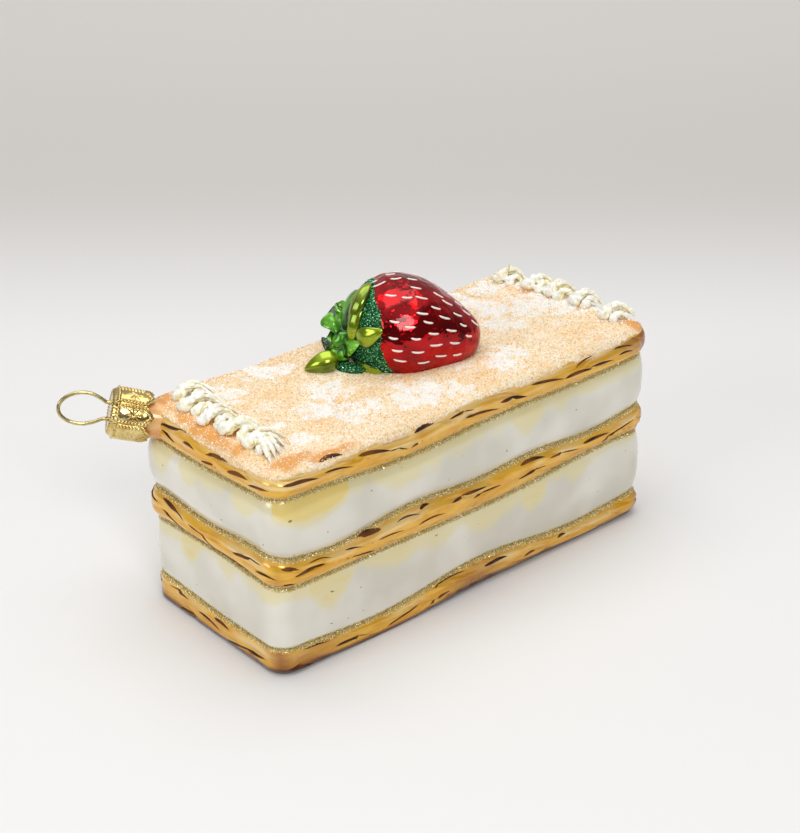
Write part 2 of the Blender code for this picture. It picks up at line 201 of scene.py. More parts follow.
# Each soft box: its place, width, height and power in watts.
SOFT_BOXES = (
    ("overhead_box", (0.05, 0.10, 0.90), 0.9, 0.7, 3.3),
    ("left_box", (-0.75, 0.05, 0.42), 0.40, 0.30, 1.30),
    ("front_window", (-0.30, -0.62, 0.60), 0.26, 0.24, 2.05),
)
BOXES_AIM = Vector((0.0, 0.0, 0.03))
room = bpy.data.worlds.new("room")
bpy.context.scene.world = room
room.use_nodes = True
room_nodes = Nodes(room.node_tree)
direction = room_nodes.node("ShaderNodeTexCoord", output=0)
settings = {"operation": "DOT_PRODUCT"}
away = room_nodes.node("ShaderNodeVectorMath", settings, (direction, heading), output=1)
up = room_nodes.node("ShaderNodeSeparateXYZ", None, (direction,), output=2)
light = room_nodes.mix(away.step(0.05, 0.55), (ROOM_DARK,) * 3, (ROOM_PAPER,) * 3)
light = room_nodes.mix(up.step(0.58, 0.82), light, (ROOM_OVERHEAD,) * 3)
room_nodes.feed(room.node_tree.nodes["Background"].inputs["Color"], light)
for name, place, width, height, power in SOFT_BOXES:
    data = bpy.data.lights.new(name, "AREA")
    data.shape = "RECTANGLE"
    data.size = width
    data.size_y = height
    data.energy = power
    lamp = bpy.data.objects.new(name, data)
    lamp.location = place
    lamp.rotation_euler = (Vector(place) - BOXES_AIM).to_track_quat("Z", "Y").to_euler()
    bpy.context.scene.collection.objects.link(lamp)
bpy.context.scene.view_settings.view_transform = "Standard"


# ---------------------------------------------------------------- blown slice
# One blown glass wall, moulded as three pastry sheets with two cream fillings
# between.  The layers meet in wavy grooves, which carry the gold glitter.
SLICE_LENGTH = 0.115
SLICE_WIDTH = 0.050
CORNER_RADIUS = 0.006
FAR_END_SKEW = 0.0045
LINE_HEIGHTS = (0.0013, 0.0065, 0.0225, 0.0299, 0.0440, 0.0491)
LINE_RIPPLES = (
    ((3, 0.0005, -14), (5, 0.0007, 59)),
    ((4, 0.0008, 76), (6, 0.0007, 76)),
    ((3, 0.0009, -51), (5, 0.0004, -171)),
    ((5, 0.0005, 125), (8, 0.0007, -86)),
    ((3, 0.0005, -101), (5, 0.0006, 39)),
    ((6, 0.0006, 74), (11, 0.0005, 103)),
)
GROOVE_HALF_HEIGHT = 0.0008
GROOVE_DEPTH = 0.0019
GROOVE_MARK_WIDTH = 0.0009
# The relief fades out towards the grooves and the foot, and stays a hair inside.
RELIEF_FADE = 0.0012
FOOT_FADE = 0.002
RELIEF_INSIDE = 0.0001
FLAKE_LUMPS = 0.00020
FLAKE_CREASES = 0.00045
CREAM_SWELLS = 0.00032
PASTRY_EDGE_INSET = 0.0009
CREAM_EDGE_INSET = 0.0011
# How far each layer's crest lies inside the outline, at the cap's end and the far end.
BAND_CRESTS = ((0.0008, -0.0001), (0.0009, 0.0002), (-0.0004, -0.0001), (-0.0003, 0.0002), (0.0, 0.0002))
UNDERSIDE_INSET = 0.0024
TOP_HEIGHT = 0.0515
TOP_INSET = 0.0054
BACK_SAG = 0.0020
BACK_SAG_START = 0.004
BACK_SAG_EASE = 0.046
SAG_LOWEST = 0.046
COLUMNS = 640
HALF_X = SLICE_LENGTH / 2 - CORNER_RADIUS
HALF_Y = SLICE_WIDTH / 2 - CORNER_RADIUS
CORNER_ARC = CORNER_RADIUS * math.pi / 2
PERIMETER = 4 * (HALF_X + HALF_Y + CORNER_ARC)


def outline_at(walked):
    """Place and outward normal on the outline, walked anticlockwise from the front."""
    left = (walked + HALF_X) % PERIMETER
    centres = ((-HALF_X, -HALF_Y), (HALF_X, -HALF_Y), (HALF_X, HALF_Y), (-HALF_X, HALF_Y))
    for side, (cx, cy) in enumerate(centres):
        facing = math.radians(90 * side - 90)
        straight = 2 * (HALF_X if side % 2 == 0 else HALF_Y)
        if left <= straight:
            normal = Vector((math.cos(facing), math.sin(facing), 0))
            along = Vector((-normal.y, normal.x, 0))
            return Vector((cx, cy, 0)) + normal * CORNER_RADIUS + along * left, normal
        left -= straight
        if left <= CORNER_ARC:
            turn = facing + left / CORNER_RADIUS
            normal = Vector((math.cos(turn), math.sin(turn), 0))
            cx, cy = centres[(side + 1) % 4]
            return Vector((cx, cy, 0)) + normal * CORNER_RADIUS, normal
        left -= CORNER_ARC
    return outline_at(0.0)


def line_height(index, walked):
    """Height of one moulded line at a place on the outline."""
    height = LINE_HEIGHTS[index]
    for waves, size, phase in LINE_RIPPLES[index]:
        height += size * math.sin(2 * math.pi * waves * walked / PERIMETER + math.radians(phase))
    return height


WALL_COLUMNS = []
for column in range(COLUMNS):
    walked = PERIMETER * column / COLUMNS
    WALL_COLUMNS.append((walked, [line_height(index, walked) for index in range(6)]))


def settled(point):
    """A point of the straight slice, drawn in at the far end and sagged at the back."""
    far = (point.x / SLICE_LENGTH + 0.5) ** 4
    point = point - Vector((FAR_END_SKEW * far * (point.y / SLICE_WIDTH + 0.5), 0, 0))
    towards_back = max(0.0, (point.y - BACK_SAG_START) / (SLICE_WIDTH / 2 - BACK_SAG_START))
    from_cap = min(1.0, max(0.0, (point.x + SLICE_LENGTH / 2) / BACK_SAG_EASE))
    share = min(1.0, max(0.0, (point.z - SAG_LOWEST) / (TOP_HEIGHT - SAG_LOWEST)))
    point.z -= BACK_SAG * towards_back ** 2 * from_cap * share
    return point


def flaky(point):
    """Relief of the pastry: long low lumps and the thin creases between flakes."""
    slow = noise.noise(Vector((point.x * 70, point.y * 70, point.z * 260)))
    crease = noise.noise(Vector((point.x * 62 + 7, point.y * 62, point.z * 420 + point.x * 60)))
    return FLAKE_LUMPS * slow - FLAKE_CREASES * max(0.0, 1 - 7 * abs(crease)) ** 1.5


def creamy(point):
    """Relief of the cream: broad soft swells."""
    return CREAM_SWELLS * noise.noise(Vector((point.x * 42, point.y * 42, point.z * 75 + 3)))


def wall_at(walked, height, lines=None):
    """A point of the outside wall at a height, with its outward normal."""
    place, normal = outline_at(walked)
    lines = lines or [line_height(index, walked) for index in range(6)]
    far = place.x / SLICE_LENGTH + 0.5
    band = sum(height > line for line in lines[1:5])
    near_crest, far_crest = BAND_CRESTS[band]
    crest = near_crest + (far_crest - near_crest) * far
    edge = CREAM_EDGE_INSET if band % 2 else PASTRY_EDGE_INSET
    low = lines[band] + (GROOVE_HALF_HEIGHT if band else 0.0)
    high = lines[band + 1] - (GROOVE_HALF_HEIGHT if band < 4 else 0.0)
    part = min(1.0, max(0.0, (height - low) / (high - low)))
    inset = edge + (crest - edge) * (1 - abs(2 * part - 1) ** 3)
    gap = min(abs(height - line) for line in lines[1:5])
    inset += (GROOVE_DEPTH - edge) * max(0.0, 1 - gap / GROOVE_HALF_HEIGHT) ** 1.3
    if height < lines[0]:
        inset += (UNDERSIDE_INSET - edge) * (1 - height / lines[0]) ** 2.2
    point = place + Vector((0, 0, height))
    lump = creamy(point) if band % 2 else flaky(point)
    ease = min(1.0, gap / RELIEF_FADE) * min(1.0, height / FOOT_FADE)
    return settled(point - normal * (inset - (lump - RELIEF_INSIDE) * ease)), normal


class Form:
    """The points, faces and marks of one mesh, shaped ring by ring."""

    def __init__(self, around=0):
        self.around = around
        self.points = []
        self.faces = []
        self.marks = {}

    def add(self, point, **marks):
        """Lay one point, with the values stored on it."""
        self.points.append(tuple(point))
        for name, value in marks.items():
            self.marks.setdefault(name, []).append(value)

    def knit(self, lower, upper):
        """Faces between two rings, each given by its first point."""
        for i in range(self.around):
            j = (i + 1) % self.around
            self.faces.append((lower + i, lower + j, upper + j, upper + i))

    def close(self, ring, point, upper, **marks):
        """Draw a ring to one new point, marked as the ring is unless told."""
        centre = len(self.points)
        self.add(point, **{name: values[ring] for name, values in self.marks.items()} | marks)
        for i in range(self.around):
            j = (i + 1) % self.around
            self.faces.append((ring + i, ring + j, centre) if upper else (ring + j, ring + i, centre))

    def tube(self, first, low, high, **marks):
        """Knit every ring laid since a first point, and close both ends."""
        last = len(self.points) - self.around
        for ring in range(first, last, self.around):
            self.knit(ring, ring + self.around)
        self.close(first, low, False, **marks)
        self.close(last, high, True, **marks)

    def mesh(self, name):
        """The finished mesh, with a value of every mark at each of its points."""
        made = bpy.data.meshes.new(name)
        made.from_pydata(self.points, [], self.faces)
        for mark, values in self.marks.items():
            made.attributes.new(mark, "FLOAT", "POINT").data.foreach_set("value", values)
        return made


def add_piece(name, mesh, material):
    """An object for a finished mesh, smooth and with its material."""
    mesh.shade_smooth()
    mesh.materials.append(material)
    made = bpy.data.objects.new(name, mesh)
    bpy.context.scene.collection.objects.link(made)
    return made


def layer(low, high, rows, painted):
    """The wall between two lines; painted gives the marks of each point's own paint."""
    form = Form(COLUMNS)
    for row in range(rows + 1):
        rise = 0.5 - 0.5 * math.cos(math.pi * row / rows)
        for walked, lines in WALL_COLUMNS:
            bottom = lines[low] if low else 0.0
            height = bottom + (lines[high] - bottom) * rise
            gap = min(abs(height - line) for line in lines[1:5])
            point = wall_at(walked, height, lines)[0]
            groove = max(0.0, 1 - gap / GROOVE_MARK_WIDTH)
            form.add(point, rise=rise, groove=groove, **painted(walked, rise, lines[high] - height, point))
    return form


# ---------------------------------------------------------------- pastry sheets
# Clear glass silvered and lacquered gold-tan, with toasted brown airbrushed at the corners and in patches,
# painted shade darkening the low edge of each sheet, and a painted highlight along its upper part.  The top
# sheet also carries the sugared top.
PASTRY_TAN = paint(244, 190, 66)
PASTRY_GOLD = paint(230, 166, 30)
PASTRY_PAINTED_HIGHLIGHT = paint(255, 234, 178)
PASTRY_TOAST_AND_SHADE = paint(158, 90, 26)
PASTRY_DARK = paint(92, 50, 16)
GLITTER_BED = paint(190, 164, 88)
PEACH = paint(252, 220, 168)
APRICOT = paint(248, 200, 122)
SUGARED_CREAM = paint(252, 234, 198)
ORANGE_BAKE_AND_SHADE = paint(228, 150, 46)

pastry = Finish("pastry_lacquer")
streaks = pastry.grain(150, 3.0, (1.0, 1.0, 5.0))
clouds = pastry.grain(75, 2.0, (1.0, 1.0, 1.6))
rise = pastry.marked("rise")
groove = pastry.marked("groove")
toast = pastry.marked("toast")
colour = pastry.mix(streaks.step(0.35, 0.65), PASTRY_TAN, PASTRY_GOLD)
# Painted highlight: pale cream along each sheet's upper ledge and near its top edge, where overhead light
# would catch the bulge.
painted_highlight_ledge = rise.step(0.50, 0.68) * (1 - rise.step(0.74, 0.90))
colour = pastry.mix(painted_highlight_ledge * clouds.step(0.42, 0.66) * 0.6, colour, PASTRY_PAINTED_HIGHLIGHT)
colour = pastry.mix(rise.step(0.80, 1.0) * clouds.step(0.30, 0.60) * 0.55, colour, PASTRY_PAINTED_HIGHLIGHT)
# Brown: airbrushed toast at corners and in patches, and painted shade along each sheet's low edge; the
# darkest brown is mostly that painted shade at the foot of the bottom sheet.
colour = pastry.mix(toast.step(0.15, 1.0) * 0.9, colour, PASTRY_TOAST_AND_SHADE)
colour = pastry.mix(toast.step(0.8, 1.6), colour, PASTRY_DARK)
colour = pastry.mix(groove.step(0.1, 0.6), colour, GLITTER_BED)
top = pastry.marked("top")
bake = pastry.marked("bake")
peach = pastry.mix(pastry.grain(95, 3.0).step(0.36, 0.64), SUGARED_CREAM, PEACH)
peach = pastry.mix(pastry.grain(60, 4.0).step(0.52, 0.72) * 0.6, peach, APRICOT)
# Orange airbrushing near the corners and the cap, and painted shade beside each piped star, under its lobes.
peach = pastry.mix(bake.step(0.1, 0.9) * 0.85, peach, ORANGE_BAKE_AND_SHADE)
colour = pastry.mix(top.step(0.35, 0.65), colour, peach)
matt = top.step(0.3, 0.7)
fine = pastry.grain(1600, 2.0)
pastry_material = pastry.set(
    Base_Color=colour,
    Metallic=(1 - matt) * 0.22,
    Roughness=0.22 + matt * 0.38,
    Coat_Weight=(1 - matt) * 0.45,
    Coat_Roughness=0.08,
    Normal=pastry.bump(fine * (0.15 + matt), 0.0002),
)

# How far up a sheet its low edge is darkened with painted shade, how strongly, and how brown the whole sheet
# is.
BOTTOM_BROWNING_AND_SHADE = (1 / 3, 2.1, 0.34)
UPPER_BROWNING_AND_SHADE = (1 / 6, 0.7, -0.05)
FAR_CORNER = (0.056, -0.021)
FAR_CORNER_REACH = 0.0065


def toasting_and_shade(walked, rise, point, browning_and_shade):
    """How brown a place is: airbrushed corners and drifting patches, with painted shade along the lower
    edges.
    """
    low_reach, low_shade, all_brown = browning_and_shade
    place, normal = outline_at(walked)
    corner = max(0.0, 1 - abs(abs(normal.x) - abs(normal.y)) * 1.2)
    patch = noise.noise(Vector((point.x * 55 + 11, point.y * 55, point.z * 120)))
    # Painted shade along the sheet's low edge.
    low = max(0.0, 1 - rise / low_reach)
    to_corner = math.hypot(point.x - FAR_CORNER[0], point.y - FAR_CORNER[1])
    far_corner = max(0.0, 1.6 - to_corner / FAR_CORNER_REACH)
    return max(0.0, 0.45 * corner + 0.75 * patch + low * low_shade + 0.55 * far_corner + all_brown)


SHEET_CLOSE = 0.002
# Each lower sheet: its lines, rows, browning and painted shade, and the height its hidden floor closes at.
LOWER_SHEETS = (
    ("pastry_bottom", 0, 1, 26, BOTTOM_BROWNING_AND_SHADE, 0.0),
    ("pastry_middle", 2, 3, 24, UPPER_BROWNING_AND_SHADE, LINE_HEIGHTS[2] + SHEET_CLOSE),
)
for name, low, high, rows, browning_and_shade, floor_height in LOWER_SHEETS:
    form = layer(low, high, rows, lambda walked, rise, fall, point: {
        "toast": toasting_and_shade(walked, rise, point, browning_and_shade),
    })
    form.tube(0, (0, 0, floor_height), (0, 0, LINE_HEIGHTS[high] - SHEET_CLOSE))
    piece = add_piece(name, form.mesh(name), pastry_material)
    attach(piece, "root")
    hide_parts("glass_body")

# The top sheet's rings go on over the rounded rim and in to a line along the
# middle, so that the sugared top is one skin with the sheet's edge.
RIM_ROWS = 12
TOP_RINGS = 30
TOP_LINE_HALF = 0.028
SHEET_ROWS = 18
TOP_CRUMPLE = 0.00016
# Points that meet on the middle line are merged below this distance.
MERGE_DISTANCE = 2e-6
THINNEST_EDGE = 1e-7
# Each baked place on the top: its middle and how far it reaches each way.  The first five are orange
# airbrushing near the corners and the cap's end; the other ten, beside each piped star, are painted shade
# under its lobes.
BAKED_AND_SHADED_PLACES = (
    (-0.050, -0.0200, 0.0085, 0.0026), (-0.053, 0.0215, 0.004, 0.004), (-0.0545, 0.004, 0.0020, 0.014),
    (0.0545, -0.0215, 0.0035, 0.0035), (-0.040, -0.0222, 0.008, 0.0014), (-0.0517, 0.0104, 0.0026, 0.0016),
    (-0.0527, 0.0035, 0.0030, 0.0016), (-0.0510, -0.0030, 0.0034, 0.0018), (-0.0533, -0.0085, 0.0030, 0.0014),
    (0.0473, 0.0141, 0.0018, 0.0010), (0.0480, 0.0084, 0.0022, 0.0012), (0.0482, 0.0020, 0.0022, 0.0011),
    (0.0506, -0.0071, 0.0020, 0.0010), (0.0499, -0.0158, 0.0026, 0.0014), (0.0515, -0.0192, 0.0018, 0.0012),
)


def baked_and_shaded(point):
    """Orange-brown airbrushing on the top near the front corner and the cap, and painted shade beside the
    piped stars.
    """
    share = 0.0
    for x, y, reach_x, reach_y in BAKED_AND_SHADED_PLACES:
        far = math.hypot((point.x - x) / reach_x, (point.y - y) / reach_y)
        share = max(share, 1.3 - far)
    return max(0.0, share + 0.5 * noise.noise(point * 300))


form = layer(4, 5, SHEET_ROWS, lambda walked, rise, fall, point: {
    "toast": toasting_and_shade(walked, rise, point, UPPER_BROWNING_AND_SHADE), "top": 0.0, "bake": 0.0,
})
for row in range(1, RIM_ROWS + TOP_RINGS + 1):
    for walked, lines in WALL_COLUMNS:
        place, normal = outline_at(walked)
        rim = lines[5]
        if row <= RIM_ROWS:
            part = row / RIM_ROWS
            inset = PASTRY_EDGE_INSET + (TOP_INSET - PASTRY_EDGE_INSET) * part ** 1.9
            point = place - normal * inset
            point.z = rim + (TOP_HEIGHT - rim) * (1 - (1 - part) ** 2)
        else:
            part = (row - RIM_ROWS) / TOP_RINGS
            edge = place - normal * TOP_INSET
            middle = Vector((max(-TOP_LINE_HALF, min(TOP_LINE_HALF, edge.x)), 0, 0))
            point = edge.lerp(middle, min(part, 0.999))
            point.z = TOP_HEIGHT
        crumple = noise.noise(Vector((point.x * 130, point.y * 130, 5.0)))
        point.z += TOP_CRUMPLE * crumple * min(1.0, row / RIM_ROWS)
        wave = 0.13 + 0.24 * noise.noise(Vector((walked * 150, 2.0, 0))) + 0.10 * noise.noise(point * 900)
        form.add(
            settled(point),
            rise=1.0,
            groove=0.0,
            toast=0.15 * max(0.0, 1 - row / RIM_ROWS),
            top=min(1.0, max(0.0, row / RIM_ROWS / max(0.03, wave) - 0.5)),
            bake=baked_and_shaded(point),
        )
form.tube(0, (0, 0, LINE_HEIGHTS[4] + SHEET_CLOSE), (0, 0, TOP_HEIGHT))
mesh = form.mesh("pastry_top")
bm = bmesh.new()
bm.from_mesh(mesh)
bmesh.ops.remove_doubles(bm, verts=bm.verts, dist=MERGE_DISTANCE)
bmesh.ops.dissolve_degenerate(bm, edges=bm.edges, dist=THINNEST_EDGE)
bm.to_mesh(mesh)
bm.free()
pastry_top = add_piece("pastry_top", mesh, pastry_material)
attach(pastry_top, "root")
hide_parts("glass_body")

# ---------------------------------------------------------------- cream fillings
# The same glass wall lacquered pearl white and mottled grey with painted reflections, with thin yellow washes
# that run down from the upper groove, and a few dark specks.
CREAM_WHITE = paint(240, 236, 225)
CREAM_PAINTED_REFLECTION = paint(219, 215, 200)
CREAM_YELLOW = paint(238, 224, 160)
CREAM_MUSTARD = paint(242, 212, 108)
CREAM_SPECK = paint(96, 72, 40)
CREAM_ROWS = 30
CREAM_CLOSE = 0.004
cream = Finish("cream_lacquer")
wash = cream.marked("wash")
groove = cream.marked("groove")
# Grey mottling: painted reflections on the glossy cream.
colour = cream.mix(cream.grain(55, 2.0).step(0.35, 0.65), CREAM_WHITE, CREAM_PAINTED_REFLECTION)
edge = cream.grain(240, 4.0, (0.6, 0.6, 2.2)) * 0.9
colour = cream.mix((wash + edge).step(0.45, 1.35) * 0.70, colour, CREAM_YELLOW)
colour = cream.mix((wash + edge).step(1.35, 2.0) * 0.75, colour, CREAM_MUSTARD)
speck = cream.grain(900, 0.0).step(0.85, 0.88)
colour = cream.mix(speck * 0.8, colour, CREAM_SPECK)
colour = cream.mix(groove.step(0.1, 0.6), colour, GLITTER_BED)
cream_material = cream.set(
    Base_Color=colour,
    Metallic=0.06,
    Roughness=0.16 + cream.grain(90, 2.0) * 0.10,
    Coat_Weight=0.7,
    Coat_Roughness=0.05,
    Normal=cream.bump(cream.grain(140, 2.0), 0.0003, 0.5),
)
# Where the yellow hangs lowest: band, place along the wall, half width and
# length in millimetres, strength.
DRIPS = (
    (3, -47.0, 8.6, 6.6, 1.7), (3, -96, 3, 7.5, 0.9), (3, -86, 3.5, 6.0, 0.9), (3, -66, 5, 5.5, 0.9),
    (3, -22, 8, 6.0, 0.9), (3, -4, 5, 4.0, 0.9), (3, 16, 5, 7.0, 1.0), (3, 38, 6, 3.5, 0.9),
    (1, -42, 6, 8.5, 1.1), (1, -88, 4, 7.0, 1.2), (1, -74, 4, 5.0, 0.8), (1, -60, 6, 4.5, 0.9),
    (1, -22, 9, 5.0, 1.0), (1, 4, 7, 6.0, 0.9), (1, 19, 4, 7.5, 1.0), (1, 33, 5, 5.0, 0.8),
)
WASH_REACH = 0.0028
WASH_STRENGTH = 0.85
WASH_FADE = 0.0034
# Drips stronger than this are broad strokes of mustard, with squarer ends.
BRUSHED_STRENGTH = 1.5


def washed(band, walked, fall):
    """How strongly the yellow wash lies at a distance below the groove."""
    seed = Vector((walked * 60, band * 5.0, 0))
    reach = WASH_REACH + 0.0032 * noise.noise(seed) + 0.0008 * noise.noise(seed * 4)
    strength = WASH_STRENGTH
    ragged = 0.0011 * noise.noise(Vector((walked * 210, fall * 260, band)))
    for at_band, place, half, length, strong in DRIPS:
        off = abs((walked - place * 0.001 + PERIMETER / 2) % PERIMETER - PERIMETER / 2) / (half * 0.001)
        if at_band == band and off < 1.3:
            roundness = 0.2 if strong > BRUSHED_STRENGTH else 0.4
            hang = length * 0.001 * (0.5 + 0.5 * math.cos(math.pi * off / 1.3)) ** roundness
            if hang > reach:
                reach = hang
                strength = strong
    return strength * max(0.0, min(1.0, (reach + ragged - fall) / WASH_FADE + 0.5))


for name, low, high in (("cream_lower", 1, 2), ("cream_upper", 3, 4)):
    form = layer(low, high, CREAM_ROWS, lambda walked, rise, fall, point: {
        "wash": washed(low, walked, fall),
    })
    form.tube(0, (0, 0, LINE_HEIGHTS[low] + CREAM_CLOSE), (0, 0, LINE_HEIGHTS[high] - CREAM_CLOSE))
    piece = add_piece(name, form.mesh(name), cream_material)
    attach(piece, "root")
    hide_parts("glass_body")


# ---------------------------------------------------------------- brown flake strokes
# Dark enamel brushed over the lacquer, one thin raised stroke for each torn
# edge of pastry.  The strokes run along the sheets and taper at both ends.
STROKE_RAISE = 0.00012
enamel = Finish("brown_enamel")
tone = enamel.grain(260, 1.0)
brown_material = enamel.set(
    Base_Color=enamel.mix(tone.step(0.35, 0.7), paint(54, 22, 4), paint(118, 64, 14)),
    Roughness=0.5,
    Specular_IOR_Level=0.3,
)


def skin_at(walked, height):
    """A point of the outside skin, going on over the rounded rim of the top."""
    rim = line_height(5, walked)
    if height <= rim:
        return wall_at(walked, height)[0]
    place, normal = outline_at(walked)
    part = 1 - math.sqrt(max(0.0, 1 - (height - rim) / (TOP_HEIGHT - rim)))
    point = place - normal * (PASTRY_EDGE_INSET + (TOP_INSET - PASTRY_EDGE_INSET) * part ** 1.9)
    point.z = height
    return settled(point)


def raised_stroke(form, path, widths, lift):
    """Add one closed stroke along a path of points and normals."""
    start = len(form.points)
    last = len(path) - 1
    for index, (point, normal) in enumerate(path):
        ahead = path[min(index + 1, last)][0] - path[max(index - 1, 0)][0]
        across = normal.cross(ahead).normalized() * widths[index] / 2
        if index in (0, last):
            form.add(point)
            continue
        crown = point + normal * lift * min(1.0, widths[index] / max(widths) * 1.4)
        for corner in (point + across, crown + across * 0.4, crown - across * 0.4, point - across):
            form.add(corner)
        form.add(point - normal * lift)
    first = start + 1
    end = len(form.points) - 1
    for k in range(5):
        j = (k + 1) % 5
        form.faces.append((start, first + j, first + k))
        for base in range(first, end - 5, 5):
            form.faces.append((base + k, base + j, base + 5 + j, base + 5 + k))
        form.faces.append((end, end - 5 + k, end - 5 + j))


def stroke_on_sheet(form, sheet, start, start_rise, end, end_rise, width):
    """One stroke on a pastry sheet, from one place along the wall to another."""
    steps = max(4, min(14, round(abs(end - start) * 1000)))
    path = []
    widths = []
    for step in range(steps + 1):
        part = step / steps
        walked = start + (end - start) * part
        rise = start_rise + (end_rise - start_rise) * part + 0.05 * math.sin(part * math.pi)
        bottom = line_height(sheet, walked) if sheet else 0.0
        top = TOP_HEIGHT if sheet == 4 else line_height(sheet + 1, walked)
        height = bottom + (top - bottom) * min(0.97, max(0.03, rise))
        point = skin_at(walked, height)
        aside = skin_at(walked + 0.0002, height) - point
        above = skin_at(walked, height + 0.0002) - point
        path.append((point, aside.cross(above).normalized()))
        widths.append(width * 0.85 * math.sin(math.pi * min(1.0, part * 0.93 + 0.05) ** 0.8) ** 0.8)
    raised_stroke(form, path, widths, STROKE_RAISE)


# Each brushed stroke: sheet line, start and end along the wall with the rise
# there, and width.  Distances are in millimetres from the middle of the front.
BRUSHED = (
    (4, -106, 0.30, -86, 0.80, 1.2), (4, -96.5, 0.42, -90.5, 0.30, 0.8), (4, -87.5, 0.52, -83, 0.48, 0.9),
    (4, -79.5, 0.52, -72, 0.62, 1.1), (4, -81, 0.25, -75.5, 0.27, 0.7), (4, -71.5, 0.39, -64, 0.52, 1.1),
    (4, -64, 0.34, -57.5, 0.44, 0.8), (4, -54.5, 0.62, -45, 0.46, 1.0), (4, -44, 0.88, -37, 0.84, 1.3),
    (4, -43.5, 0.55, -35.5, 0.42, 0.5), (4, -34, 0.66, -25, 0.47, 1.1), (4, -25.5, 0.44, -20, 0.3, 0.5),
    (4, -18, 0.66, -12, 0.70, 1.2), (4, -19.5, 0.3, -15, 0.33, 0.5), (4, -8, 0.65, -0.5, 0.64, 0.6),
    (4, -3.5, 0.5, 7, 0.3, 0.8), (4, 7, 0.5, 15.5, 0.32, 1.2), (4, 17, 0.6, 27.5, 0.4, 0.8),
    (4, 27.5, 0.4, 36.5, 0.36, 1.1), (4, 31, 0.58, 37.5, 0.74, 0.5), (4, 36, 0.4, 44, 0.3, 0.9),
    (4, 44, 0.62, 50, 0.55, 0.6), (4, 45, 0.42, 50, 0.36, 0.7), (2, -106, 0.80, -101.5, 0.35, 1.0),
    (2, -97, 0.84, -88, 0.60, 1.1), (2, -97.5, 0.50, -88.5, 0.18, 0.6), (2, -86.5, 0.62, -77, 0.26, 0.6),
    (2, -70.5, 0.55, -60, 0.70, 0.9), (2, -62, 0.46, -56, 0.4, 0.5), (2, -80, 0.16, -64, 0.20, 0.5),
    (2, -55.5, 0.76, -51, 0.68, 1.1), (2, -53, 0.48, -43.5, 0.58, 1.1), (2, -48.5, 0.79, -42, 0.72, 0.4),
    (2, -55.5, 0.18, -52, 0.2, 0.8), (2, -34.5, 0.88, -27.5, 0.79, 1.8), (2, -38.5, 0.77, -33, 0.54, 0.5),
    (2, -31, 0.52, -21.5, 0.43, 0.5), (2, -17, 0.77, -13.5, 0.83, 1.0), (2, -23.5, 0.74, -16.5, 0.68, 0.4),
    (2, -17.5, 0.4, -9.5, 0.43, 0.6), (2, -7.5, 0.66, 3.5, 0.72, 1.0), (2, -1, 0.54, 8, 0.53, 0.7),
    (2, -38, 0.40, -28.5, 0.14, 0.5), (2, 13, 0.43, 23.5, 0.39, 0.7), (2, 14, 0.82, 22, 0.76, 1.1),
    (2, 23, 0.66, 33, 0.54, 0.6), (2, 34, 0.68, 43, 0.62, 0.9), (2, 40, 0.32, 52, 0.62, 0.6),
    (0, -106, 0.9, -101, 0.5, 1.0), (0, -98, 0.69, -89.5, 0.72, 1.1), (0, -93.5, 0.14, -87, 0.2, 0.7),
    (0, -86, 0.54, -77.5, 0.38, 0.9), (0, -80, 0.74, -74, 0.68, 1.1), (0, -75.5, 0.18, -60.5, 0.43, 1.1),
    (0, -54.5, 0.25, -46.5, 0.1, 1.1), (0, -49.5, 0.82, -42.5, 0.81, 0.5), (0, -41, 0.48, -32, 0.40, 0.9),
    (0, -26, 0.30, -16, 0.55, 0.6), (0, -13.5, 0.32, -7, 0.45, 0.9), (0, -12, 0.84, -2, 0.82, 0.6),
    (0, 3.5, 0.66, 11, 0.72, 1.1), (0, 16, 0.45, 20, 0.55, 0.8), (0, 27, 0.70, 30, 0.74, 0.9),
)
SEEDED_STROKES = 100
form = Form()
for sheet, start, start_rise, end, end_rise, width in BRUSHED:
    stroke_on_sheet(form, sheet, start * 0.001, start_rise, end * 0.001, end_rise, width * 0.001)
dice = random.Random(41)
for _ in range(SEEDED_STROKES):
    start = dice.uniform(0.052, PERIMETER - 0.108)
    length = dice.uniform(0.003, 0.011)
    rise = dice.uniform(0.15, 0.85)
    drift = rise + dice.uniform(-0.25, 0.25)
    sheet = dice.choice((0, 2, 4, 4))
    if sheet == 4:
        rise *= 0.7
        drift = min(0.66, drift * 0.7)
    width = dice.uniform(0.0005, 0.0012)
    stroke_on_sheet(form, sheet, start, rise, start + length, drift, width)
brown_strokes = add_piece("brown_strokes", form.mesh("brown_strokes"), brown_material)
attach(brown_strokes, "root")
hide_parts("glass_body")


# ---------------------------------------------------------------- gold glitter
# Fine gold flakes stuck in glue along the four grooves, so that each joint
# between pastry and cream is a sparkling line about two millimetres wide.
def maker(name, takes, gives):
    """A Geometry Nodes tree with named inputs of these kinds, ready to build in."""
    tree = bpy.data.node_groups.new(name, "GeometryNodeTree")
    for label, kind in takes.items():
        tree.interface.new_socket(label, in_out="INPUT", socket_type="NodeSocket" + kind)
    tree.interface.new_socket(gives, in_out="OUTPUT", socket_type="NodeSocketGeometry")
    build = Nodes(tree)
    return build, {label: build.node("NodeGroupInput", output=label) for label in takes}


def finished(build, geometry, material):
    """End a tree with plain geometry in its material."""
    plain = build.node("GeometryNodeRealizeInstances", None, {"Geometry": geometry})
    plain = build.node("GeometryNodeSetMaterial", None, {"Geometry": plain, "Material": material})
    build.feed(build.tree.nodes.new("NodeGroupOutput").inputs[0], plain)
    return build.tree


